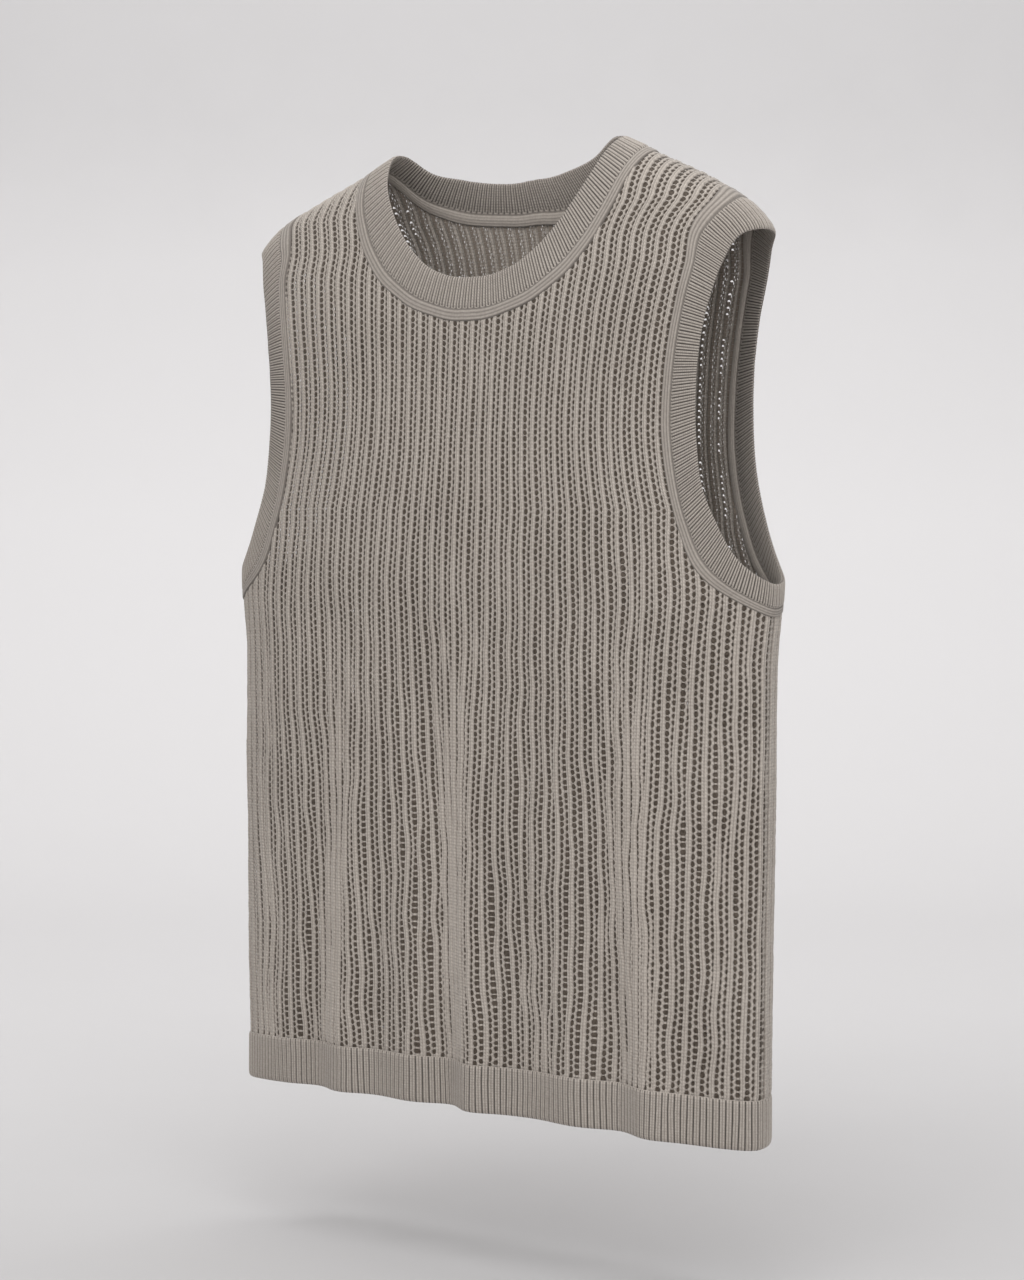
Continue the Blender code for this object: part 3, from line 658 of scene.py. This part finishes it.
def add_piece(name, points, uv, quads, materials, kinds=None):
    """A mesh from corner lists; a quad with a repeated corner becomes a triangle."""
    used, corners = np.unique(quads, return_inverse=True)
    corners = corners.reshape(-1, 4)
    keep = corners != np.roll(corners, -1, axis=1)
    total = keep.sum(axis=1)
    kinds = np.zeros(len(quads), int) if kinds is None else kinds
    kinds = kinds[total > 2]
    corners, keep, total = corners[total > 2], keep[total > 2], total[total > 2]
    loops = corners[keep]
    mesh = bpy.data.meshes.new(name)
    mesh.vertices.add(len(used))
    hung = settled(points[used]) - (0, 0, HOLD_HEIGHT)
    mesh.vertices.foreach_set("co", hung.astype(np.float32).ravel())
    mesh.loops.add(len(loops))
    mesh.loops.foreach_set("vertex_index", loops.astype(np.int32))
    mesh.polygons.add(len(total))
    starts = np.cumsum(total) - total
    for name_there, values in (("loop_start", starts), ("loop_total", total),
                               ("material_index", kinds)):
        mesh.polygons.foreach_set(name_there, values.astype(np.int32))
    mesh.update(calc_edges=True)
    layer = mesh.uv_layers.new(name="stitches")
    layer.data.foreach_set("uv", uv[used][loops].astype(np.float32).ravel())
    mesh.validate()
    for material in materials:
        mesh.materials.append(material)
    mesh.shade_smooth()
    mesh.update()
    return placed(name, mesh)


def ring_faces(rings, count, closed):
    """Quads between neighbouring rings of count points each, back to the first ring."""
    i = np.arange(count if closed else count - 1)
    after = (i + 1) % count
    starts = [ring * count for ring in range(rings)]
    return np.concatenate([np.stack([a + i, a + after, b + after, b + i], -1)
                           for a, b in zip(starts, starts[1:] + starts[:1])])


# ---- panels
COLUMN_SAMPLES = 260  # points along a column from which its rows are placed
SETTLING_TURNS = 25  # to find where the drifting columns meet the seams

# Columns of one repeat, from the middle of its broad rib: five on the rib, one in
# the middle of the rungs, three on the slim rib.
BROAD = (0, 1, 2, 3, 4)
RUNG = 5
SLIM = (6, 7, 8)
COLUMNS = 9
CREST = np.array([RIB_BASE, BROAD_CREST, BROAD_GROOVE, BROAD_CREST, RIB_BASE, RIB_BASE + 0.45 * MM,
                  RIB_BASE, SLIM_CREST, RIB_BASE + 0.1 * MM])
# Place in the wale: 1 at its middle, 0 and 2 in its grooves, 3 on a rung.
WALE = np.array([2, 1, 0.15, 1, 2, 3, 2, 1, 0])


def column_offsets(width, shift, stretch):
    """Offsets of the nine columns from the broad rib's middle, and hole and slit widths."""
    wider = np.maximum(width - REPEAT, 0)
    snug = eased((7.8 * MM - width) / (3 * MM))
    slit = (SLIT + 0.05 * wider + 0.1 * MM * stretch) * (1 - 0.45 * snug)
    broad = BROAD_RIB + 0.74 * wider - 0.5 * MM * stretch
    slim = SLIM_RIB + 0.16 * wider - 0.15 * MM * stretch
    least = LEAST_HOLE * (1 - 0.4 * snug)
    scale = (width - least) / (broad + slim + slit)
    scale = np.minimum(scale, 1 + 0.6 * snug)
    broad, slim, slit = broad * scale, slim * scale, slit * scale
    hole = width - broad - slim - slit
    slim_start = broad / 2 + hole + np.clip(shift, -0.45 * hole, 0.4 * slit)
    offsets = [-broad / 2, -broad / 4, 0 * broad, broad / 4, broad / 2,
               broad / 2 + hole / 2, slim_start, slim_start + slim / 2, slim_start + slim]
    return np.stack(offsets, -1), hole, slit


def column_place(lines, height, repeat, column):
    """Line position of a column at a height, without the row's own changes."""
    seed = lines.seed
    width = lines.width(repeat, height)
    shift = 0.3 * MM * wander(seed, repeat, height, 2, 0.012)
    lower = 0.45 + 0.55 * eased((0.44 - height) / 0.22)
    shift = shift + 0.65 * MM * lower * wander(seed + 15, repeat, height, 1.5, 0.05)
    stretch = eased((np.abs(repeat) - 20) / 14) * eased((height - 0.4) / 0.1)
    stretch = stretch + (0.6 + 0.7 * lower) * wander(seed + 16, repeat, height, 1.2, 0.035)
    stretch = stretch - 0.45 * eased((0.4 - height) / 0.12)
    offsets, hole, slit = column_offsets(width, shift, stretch)
    column = np.broadcast_to(column, height.shape)[..., None]
    offset = np.take_along_axis(offsets, column, -1)[..., 0]
    return lines.drift(repeat, height) + 2 * offset / width, width, hole, slit


def column_tops(lines, repeat, column, up):
    """Heights where the columns end, at the neck seam, shoulder line or armhole seam."""
    top = np.full(repeat.shape, 0.6)
    low_top = np.full(repeat.shape, 0.38)
    for turn in range(SETTLING_TURNS):
        line = column_place(lines, top, repeat, column)[0]
        x = lines.x(np.clip(line, -INNER, INNER), top)
        at_neck = np.abs(x) < NECK_SEAM_FRONT[-1][0]
        top = np.where(at_neck, neck_height(x, lines.side), shoulder_height(x))
        line = column_place(lines, low_top, repeat, column)[0]
        low_top = np.interp(np.minimum(np.abs(line), LAST), lines.fan_places, lines.fan_heights)
    return np.where(up, top, low_top)


def kept_between(line, height, up):
    """Lines kept between the armhole seams above the fan, and within the panel below."""
    highest = np.where(up & (height > FAN_TOP), INNER, LAST)
    return np.clip(line, -highest, highest)


# Columns of large holes in the back panel that are left open above a height.
OPEN_ABOVE = {-29: 0.46, -27: 0.5, -25: 0.535, -23: 0.565, 29: 0.355, 33: 0.355}


def left_open(repeat, row, side, height, seed):
    """Holes with little yarn behind them: a few anywhere, and lines near the openings."""
    if side == FRONT:
        return np.zeros(len(row), bool)
    chance = wander(seed + 9, repeat + 0 * row, row, 1.3, 5)
    chance = chance + 0.45 * wander(seed + 10, repeat + 0 * row, row, 1, 1.3)
    if int(repeat) in OPEN_ABOVE:
        chance = chance + 1.5 * eased((height - OPEN_ABOVE[int(repeat)]) / 0.02)
    return chance > 1.12


def inner_strands_and_shade(deep, repeat, height, rows, side, seed):
    """Inner yarn behind the holes and slits, dark as painted shade: one quad to each, and its
    column.
    """
    quads, columns = [], []
    row = np.arange(rows - 2) * 4
    for c in range(len(repeat)):
        kind = c % COLUMNS
        opened = np.zeros(len(row), bool)
        if kind == BROAD[-1]:
            right, low, high, behind_rung = c + 2, 1, 4, 0.3
            opened = left_open(repeat[c, 0], row / 4, side, height[c, row], seed)
        elif kind == SLIM[-1] and c + 1 < len(repeat):
            right, low, high, behind_rung = c + 1, 3, 6, 0.1
        else:
            continue
        a = 1.05 * deep[c] - 0.05 * deep[right]
        b = 1.05 * deep[right] - 0.05 * deep[c]
        quad = np.stack([(1 - behind_rung) * edge[row + at] + behind_rung * edge[row + past]
                         for edge, at, past in ((a, low, low - 1), (b, low, low - 1),
                                                (b, high, high + 1), (a, high, high + 1))], 1)
        part = np.where(opened, 0.68, 1)[:, None]
        quad[:, 2] = quad[:, 1] + part * (quad[:, 2] - quad[:, 1])
        quad[:, 3] = quad[:, 0] + part * (quad[:, 3] - quad[:, 0])
        size = np.linalg.norm(quad[:, 0] - quad[:, 2], axis=1)
        quad = quad[(size > 0.6 * MM) & (size < REPEAT)]
        quads.append(quad)
        columns.append(np.full(len(quad), c))
    return np.concatenate(quads), np.concatenate(columns)


def build_panel(side):
    """Points, UVs, faces, material kinds and columns of one panel of the open knit."""
    lines = LINES[side]
    seed = lines.seed
    repeats = np.arange(-LAST + 1, LAST, 2)

    # Which columns pass between the armholes and run on to the shoulder or neck.
    runs_up = np.zeros((len(repeats), COLUMNS), bool)
    runs_up[np.abs(repeats) < INNER] = True
    runs_up[repeats == -INNER - 1, SLIM[0]:] = True
    up = runs_up.reshape(-1, 1)
    repeat = np.repeat(repeats, COLUMNS).astype(float)[:, None]
    column = np.tile(np.arange(COLUMNS), len(repeats))[:, None]
    total = len(repeat)

    # Distance along every column, then the heights of its rows.
    top = column_tops(lines, repeat, column, up)
    hem_top = np.full(repeat.shape, HEM_BAND)
    foot_line = column_place(lines, hem_top, repeat, column)[0]
    foot = HEM_BAND + hem_rise(lines.x(foot_line, hem_top), side)
    climb = 1 - (1 - np.linspace(0, 1, COLUMN_SAMPLES)) ** 2
    heights = foot + (top - foot) * climb
    line = kept_between(column_place(lines, heights, repeat, column)[0], heights, up)
    path = on_form(lines.x(line, heights), heights, side)
    length = np.array([run(string) for string in path])
    rows = int(np.ceil(length[:, -1].max() / ROW_PITCH)) + 2
    turn = (np.arange(rows)[:, None] + ROW_STEPS).ravel()
    steps = len(turn)
    step_kind = np.tile(np.arange(4), rows)
    nominal = (turn - FIRST_ROW) * ROW_PITCH
    jitter = wander(seed + 3, repeat + column * 0.2, turn[None, :], 1.7, 1.1)
    slack = 0.6 + 0.4 * eased((0.42 - nominal) / 0.25)
    arc = nominal + 0.8 * MM * jitter * slack
    pinch = np.where(column == RUNG, 0.06 * ROW_PITCH, 0)
    arc = arc + pinch * np.where(step_kind == 0, 1, np.where(step_kind == 1, -1, 0))
    slim_lift = np.where(np.isin(column, SLIM), 0.12 * MM, 0)
    arc = arc + slim_lift * np.where(step_kind < 2, 1, -1)
    end = length[:, -1:]

    # Rows that run past an end share that end's one point.
    first = np.maximum(np.argmax(arc > 0, axis=1) - 1, 0)
    last = np.minimum(steps - 1, (arc < end).sum(axis=1))
    arc = np.clip(arc, 0, end)
    height = np.array([np.interp(arc[i], length[i], heights[i]) for i in range(total)])
    step = np.clip(np.arange(steps)[None, :], first[:, None], last[:, None])
    index = np.arange(total)[:, None] * steps + step

    # Across: rounded holes and slits, a zigzag in the slim rib, arches at the hem rib.
    line, width, hole, slit = column_place(lines, height, repeat, column)
    at_rung = step_kind < 2
    round_hole = np.where(at_rung, 0.17, -0.04) * hole
    round_slit = np.where(at_rung, -0.1, 0.26) * slit
    zigzag = 0.2 * MM * (width / REPEAT) ** 2 * np.where(at_rung, -1, 1)
    arch = 0.5 * MM * eased(1 - arc / (5 * MM))
    move = np.where(np.isin(column, SLIM), zigzag, 0)
    move += np.where(column == BROAD[-1], round_hole - arch, 0)
    move += np.where(column == SLIM[0], arch - round_hole, 0)
    move += np.where(column == SLIM[-1], round_slit, 0)
    move -= np.where(column == BROAD[0], round_slit, 0)
    edge = np.isin(column, (BROAD[0], BROAD[-1], SLIM[0], SLIM[-1]))
    ragged = wander(seed + 20, repeat * 5 + column, turn[None, :], 0.8, 0.45)
    move += np.where(edge, 0.22 * MM * ragged * (0.5 + hole / (4 * MM)), 0)
    plain = lines.x(kept_between(line, height, up), height)
    line = kept_between(line + 2 * move / width, height, up)
    x = lines.x(line, height)

    # Out of the form: ribs, rungs, creases and small unevenness.
    pressed = lines.pressed(repeat, height)
    relief = CREST[column]
    lively = 0.2 * MM * wander(seed + 5, repeat, turn[None, :], 2, 0.9)
    bead = np.where(np.isin(step_kind, (1, 3)), 0.07, -0.07) * MM * (1 - pressed)
    relief = relief + np.where(relief > 0, lively, 0)
    relief = relief + np.where(relief > 0, bead, 0)
    to_end = eased((end - arc) / (3.5 * MM))
    to_hem = eased(arc / (3 * MM))
    at_arm = np.where(up & (height > FAN_TOP), eased((INNER - np.abs(line)) / 0.35), 1)
    relief = relief * (0.15 + 0.85 * to_end * at_arm) * (0.55 + 0.45 * to_hem)
    uneven = 0.55 * MM * wander(seed + 7, line, height, 7, 0.045)
    uneven = uneven * (0.3 + 0.7 * eased((0.42 - height) / 0.25)) * to_end * to_hem * at_arm
    calm = to_end * at_arm * eased((LAST - np.abs(line)) / 2.5)
    out = relief + uneven + creased(x, height, side) * calm
    points = on_form(x, height, side)
    normals = outward(points, side)
    deep = on_form(plain, height, side) + normals * (out - BEHIND)[..., None]
    points = (points + normals * out[..., None]).reshape(-1, 3)
    wale = WALE[column] + 0 * height
    # Pressed folds pull the wale places towards the middle, which lightens the painted shade in
    # their grooves.
    groove_shade_place = 1 + (wale - 1) * (1 - 0.3 * pressed)
    uv = np.stack([np.where(column == RUNG, wale, groove_shade_place), arc], -1).reshape(-1, 2)

    # Faces of the yarn, then of the inner yarn that carries the painted shade in the holes.
    faces = []
    for c in range(total - 1):
        kind = c % COLUMNS
        chosen = np.arange(steps - 1)
        if kind in (BROAD[-1], RUNG):
            chosen = chosen[step_kind[:-1] == 0]
        elif kind == SLIM[-1]:
            chosen = chosen[step_kind[:-1] == 2]
        faces.append(np.stack([index[c, chosen], index[c + 1, chosen],
                               index[c + 1, chosen + 1], index[c, chosen + 1]], -1))
    faces = np.concatenate(faces)
    quads, columns = inner_strands_and_shade(deep.reshape(-1, 3)[index], repeat, height, rows, side, seed)
    owner = np.concatenate([faces.min(axis=1) // steps, columns])
    kinds = np.repeat([0, 1], [len(faces), len(quads)])
    inner_faces = np.arange(len(quads) * 4).reshape(-1, 4) + len(points)
    faces = np.concatenate([faces, inner_faces])
    points = np.concatenate([points, quads.reshape(-1, 3)])
    uv = np.concatenate([uv, np.zeros((len(quads) * 4, 2))])
    corner = points[faces]
    reach = np.linalg.norm(corner - np.roll(corner, 1, axis=1), axis=-1).max(axis=1)
    near = reach < LONGEST_EDGE
    faces, kinds, owner = faces[near], kinds[near], owner[near]
    if side == BACK:
        faces = faces[:, ::-1]
    return points, uv, faces, kinds, owner


def split_panel(name, side, cuts):
    """The panel's three pieces, parted where a broad rib meets its large holes."""
    points, uv, faces, kinds, owner = build_panel(side)
    inner = FRONT_INNER_SHADE if side == FRONT else BACK_INNER_SHADE
    edges = [0] + [cut * COLUMNS + BROAD[-1] for cut in cuts] + [10**6]
    pieces = []
    for label, low, high in zip(("right", "middle", "left"), edges[:-1], edges[1:]):
        mine = (owner >= low) & (owner < high)
        pieces.append(add_piece(f"{name}_{label}", points, uv, faces[mine],
                                (OPEN_KNIT, inner), kinds[mine]))
    return pieces


# ---- bands
def rib_columns(rib, ribs):
    """Positions along a band, rib heights and wale positions, for a number of ribs."""
    place, high, wale = np.array(rib).T
    at = (np.arange(ribs)[:, None] + place[None, :]).ravel() / ribs
    return at, np.tile(high, ribs), np.tile(wale, ribs)


def build_band(seam, edge, place, ribs, seed):
    """Ribbed band between its seam loop and its free edge."""
    at, high, wale = rib_columns(BAND_RIB, ribs)
    at = at + 0.22 / ribs * wander(seed, at * ribs, 0 * at, 5, 1) * np.sin(np.pi * at) ** 0.5
    cut = seam[0].length / (seam[0].length + seam[1].length)
    front = (at < cut)[:, None]
    behind = (at - cut) / (1 - cut)
    seam_flat, edge_flat = [np.where(front, loop[0].at(at / cut), loop[1].at(behind))
                            for loop in (seam, edge)]
    rings, uv = [], []
    for share, out, ribbed in BAND_RINGS:
        points, side = place(seam_flat + share * (edge_flat - seam_flat))
        lift = np.where((side == FRONT)[:, None], outward(points, FRONT), outward(points, BACK))
        uneven = 0.18 * MM * wander(seed + 1, at * ribs, share + 0 * at, 3, 0.4)
        raised = (RIB_DEPTH if out > 0 else -RIB_DEPTH) * ribbed * high
        rings.append(points + lift * (out * MM + raised + uneven)[:, None])
        # Unribbed rings take a wale place that paints more shade between the seam strip's ridges
        # than on them.
        ridge = 0.7 if abs(out) > 1.2 else 0.25
        across = wale if ribbed > 0.5 else 0 * wale + ridge
        uv.append(np.stack([across, share * STITCHED_WIDTH + 0 * wale], -1))
    return np.concatenate(rings), np.concatenate(uv), ring_faces(len(rings), len(at), True)


def build_hem(side):
    """Half of the hem rib, under one panel, from side seam to side seam."""
    lines = LINES[side]
    at, high, wale = rib_columns(HEM_RIB, HEM_RIBS)
    at, high, wale = np.append(at, 1), np.append(high, high[0]), np.append(wale, wale[0])
    rings, uv = [], []
    for share, out, ribbed in HEM_RINGS:
        drop = HEM_BAND * (1 - share)
        height = np.full(len(at), drop)
        line = (2 * at - 1) * LAST
        line = np.clip(line + 0.5 * (lines.drift(line, height) - line), -LAST, LAST)
        line[0], line[-1] = -LAST, LAST
        line_x = lines.x(line, height)
        pressed = 0
        for at_line, _, width, strength, _ in PRESSES[side]:
            t = (line - at_line) / (width * 0.8)
            pressed = pressed + 2 * strength * np.exp(-0.5 * t * t)
        height = height + hem_rise(line_x, side)
        points = on_form(line_x, height, side)
        uneven = 0.2 * MM * wander(300 + side, at * HEM_RIBS, share + 0 * at, 4, 0.6)
        raised = (RIB_DEPTH if out > 0 else -RIB_DEPTH) * ribbed * high
        raised = raised * (1 - 0.85 * np.clip(pressed, 0, 1))
        rings.append(points + outward(points, side) * (out * MM + raised + uneven)[:, None])
        # Unribbed rings take a fixed wale place, and with it a fixed share of painted groove
        # shade.
        across = wale if ribbed > 0.3 else 0 * wale + 0.55
        uv.append(np.stack([across, drop + 0 * wale], -1))
    return np.concatenate(rings), np.concatenate(uv), ring_faces(len(rings), len(at), False)


OPEN_KNIT = knit_material("open_knit_yarn", (0.385, 0.34, 0.299), (0.56, 0.507, 0.455),
                          2.1 * MM, 0.2 * MM, 0.55)
RIB_KNIT = knit_material("rib_knit_yarn", (0.375, 0.332, 0.293), (0.52, 0.47, 0.422),
                         1.7 * MM, 0.15 * MM, 1)
# Painted shade: the inner yarn behind the holes is coloured dark, the front one nearly black, so
# the holes read as shaded recesses.
FRONT_INNER_SHADE = knit_material("front_inner_painted_shade", (0.03, 0.022, 0.016), (0.14, 0.114, 0.092),
                            2.1 * MM, 0.1 * MM, 0)
BACK_INNER_SHADE = knit_material("back_inner_painted_shade", (0.2, 0.166, 0.136), (0.275, 0.232, 0.194),
                           2.1 * MM, 0.1 * MM, 0)

made = {
    "front_panel": split_panel("front_knit", FRONT, (16, 33)),
    "back_panel": split_panel("back_knit", BACK, (16, 33)),
}
band = build_band(NECK_SEAM, NECK_EDGE, neck_points, NECK_RIBS, 41)
made["neckband"] = [add_piece("neck_rib", *band, (RIB_KNIT,))]
points, uv, faces = build_band(ARM_SEAM, ARM_EDGE, arm_points, ARM_RIBS, 51)
mirrored = points * (-1, 1, 1), uv, faces[:, ::-1]
made["armband_left"] = [add_piece("arm_rib_left", points, uv, faces, (RIB_KNIT,))]
made["armband_right"] = [add_piece("arm_rib_right", *mirrored, (RIB_KNIT,))]
for node, side in (("front_hem", FRONT), ("back_hem", BACK)):
    made[node] = [add_piece(node + "_rib", *build_hem(side), (RIB_KNIT,))]

# Every piece hangs from the root mount, and the imported part it stands for is hidden.
# The three pieces of a panel are parts of one cut, 0.455 or 0.45 wide.
for node, pieces in made.items():
    for piece in pieces:
        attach(piece, "root")
        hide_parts(node)

# ---- stage
FLOOR = -HOLD_HEIGHT - 0.1
VIEW_ANGLE = math.radians(36)
VIEW_DISTANCE = 1.95
VIEW_HEIGHT = 0.4064 - HOLD_HEIGHT
VIEW_TILT = math.radians(2.76)
VIEW_ASIDE = 0.0013
SENSOR = 36
FOCAL_PIXELS = 2925
PICTURE_HEIGHT = 1280
to_camera = Vector((math.sin(VIEW_ANGLE), -math.cos(VIEW_ANGLE), 0))
to_right = Vector((math.cos(VIEW_ANGLE), math.sin(VIEW_ANGLE), 0))


def sweep(material):
    """Paper sweep: a level floor that curves up into a wall behind the vest."""
    near, reach, radius, tall, half = -6, 2.6, 1.1, 3.2, 4.5
    toned_from, toned_length = -1, 5
    profile = [(near, 0), (-2, 0), (-1, 0), (0, 0), (reach - radius, 0)]
    for a in np.linspace(0, math.pi / 2, 25)[1:]:
        profile.append((reach - radius + radius * math.sin(a), radius - radius * math.cos(a)))
    profile.append((reach, tall))
    points = []
    for back, up in profile:
        for across in (-half, -half / 3, half / 3, half):
            points.append(to_right * across - to_camera * back + Vector((0, 0, FLOOR + up)))
    faces = [(4 * j + i, 4 * j + i + 1, 4 * j + i + 5, 4 * j + i + 4)
             for j in range(len(profile) - 1) for i in range(3)]
    mesh = bpy.data.meshes.new("paper_sweep")
    mesh.from_pydata(points, [], faces)
    lengths = run(np.array(profile)) + near
    along = np.repeat(np.clip((lengths - toned_from) / toned_length, 0, 1), 4)
    layer = mesh.uv_layers.new(name="length")
    for corner, loop in enumerate(mesh.loops):
        layer.data[corner].uv = (0.5, along[loop.vertex_index])
    mesh.shade_smooth()
    mesh.materials.append(material)
    return placed("paper_sweep", mesh)


# Painted light and shade along the paper, from the floor in front of the vest (0) to the top (1):
# darker at both ends, brightest in the curve, raised where the vest's shadow falls on the floor.
PAPER_LIGHT_TONES = ((0, 0.51), (1, 0.68), (0.196, 0.605), (0.32, 0.733), (0.4, 0.782),
               (0.532, 0.815), (0.606, 0.85), (0.669, 0.866), (0.72, 0.868), (0.807, 0.808),
               (0.866, 0.71))
sweep(painted_light_paper("pale_paper_painted_light", PAPER_LIGHT_TONES, (1, 0.988, 0.994)))

world = bpy.data.worlds.new("studio")
world.use_nodes = True
glow = world.node_tree.nodes["Background"].inputs
glow[0].default_value = (1, 0.985, 0.98, 1)
glow[1].default_value = 0.46
scene.world = world
scene.view_settings.view_transform = "Standard"


def spot(right, near, up):
    """A point by its distances to the right, towards the camera and up from the mount."""
    return to_right * right + to_camera * near + Vector((0, 0, up))


def soft_box(name, at, aim, size, power, colour=(1, 1, 1)):
    """A large soft light, aimed at a point."""
    light = bpy.data.lights.new(name, "AREA")
    light.shape = "RECTANGLE"
    light.size, light.size_y = size
    light.energy = power
    light.color = colour
    lamp = placed(name, light)
    lamp.location = at
    lamp.rotation_euler = (aim - at).to_track_quat("-Z", "Y").to_euler()


middle = Vector((0, 0, -0.32))
soft_box("key_light", spot(-1.6, 1.8, 1.2), middle, (2, 2), 16.4, (1, 0.985, 0.97))
soft_box("fill_light", spot(0.35, 1.9, 0.3), middle, (1.6, 1.6), 11.9)
soft_box("top_light", spot(0, 0.7, 1.7), middle, (2.8, 2.8), 19.2)
soft_box("neck_light", spot(0, 0.65, 0.65), Vector((0, 0.03, -0.06)), (0.4, 0.4), 1.5)
soft_box("side_light", spot(1.1, 1, 0), Vector((0.18, 0.02, -0.18)), (0.5, 0.5), 2.2)
soft_box("backdrop_light", spot(0, -0.9, 2), spot(0, -2.4, -0.3), (2.4, 0.8), 18)

# ---- camera
camera_data = bpy.data.cameras.new("camera")
camera_data.sensor_width = SENSOR
camera_data.lens = FOCAL_PIXELS / PICTURE_HEIGHT * SENSOR
camera = placed("camera", camera_data)
camera.location = spot(VIEW_ASIDE, VIEW_DISTANCE, VIEW_HEIGHT)
aim = spot(0, -math.cos(VIEW_TILT), -math.sin(VIEW_TILT))
camera.rotation_euler = aim.to_track_quat("-Z", "Y").to_euler()
scene.camera = camera
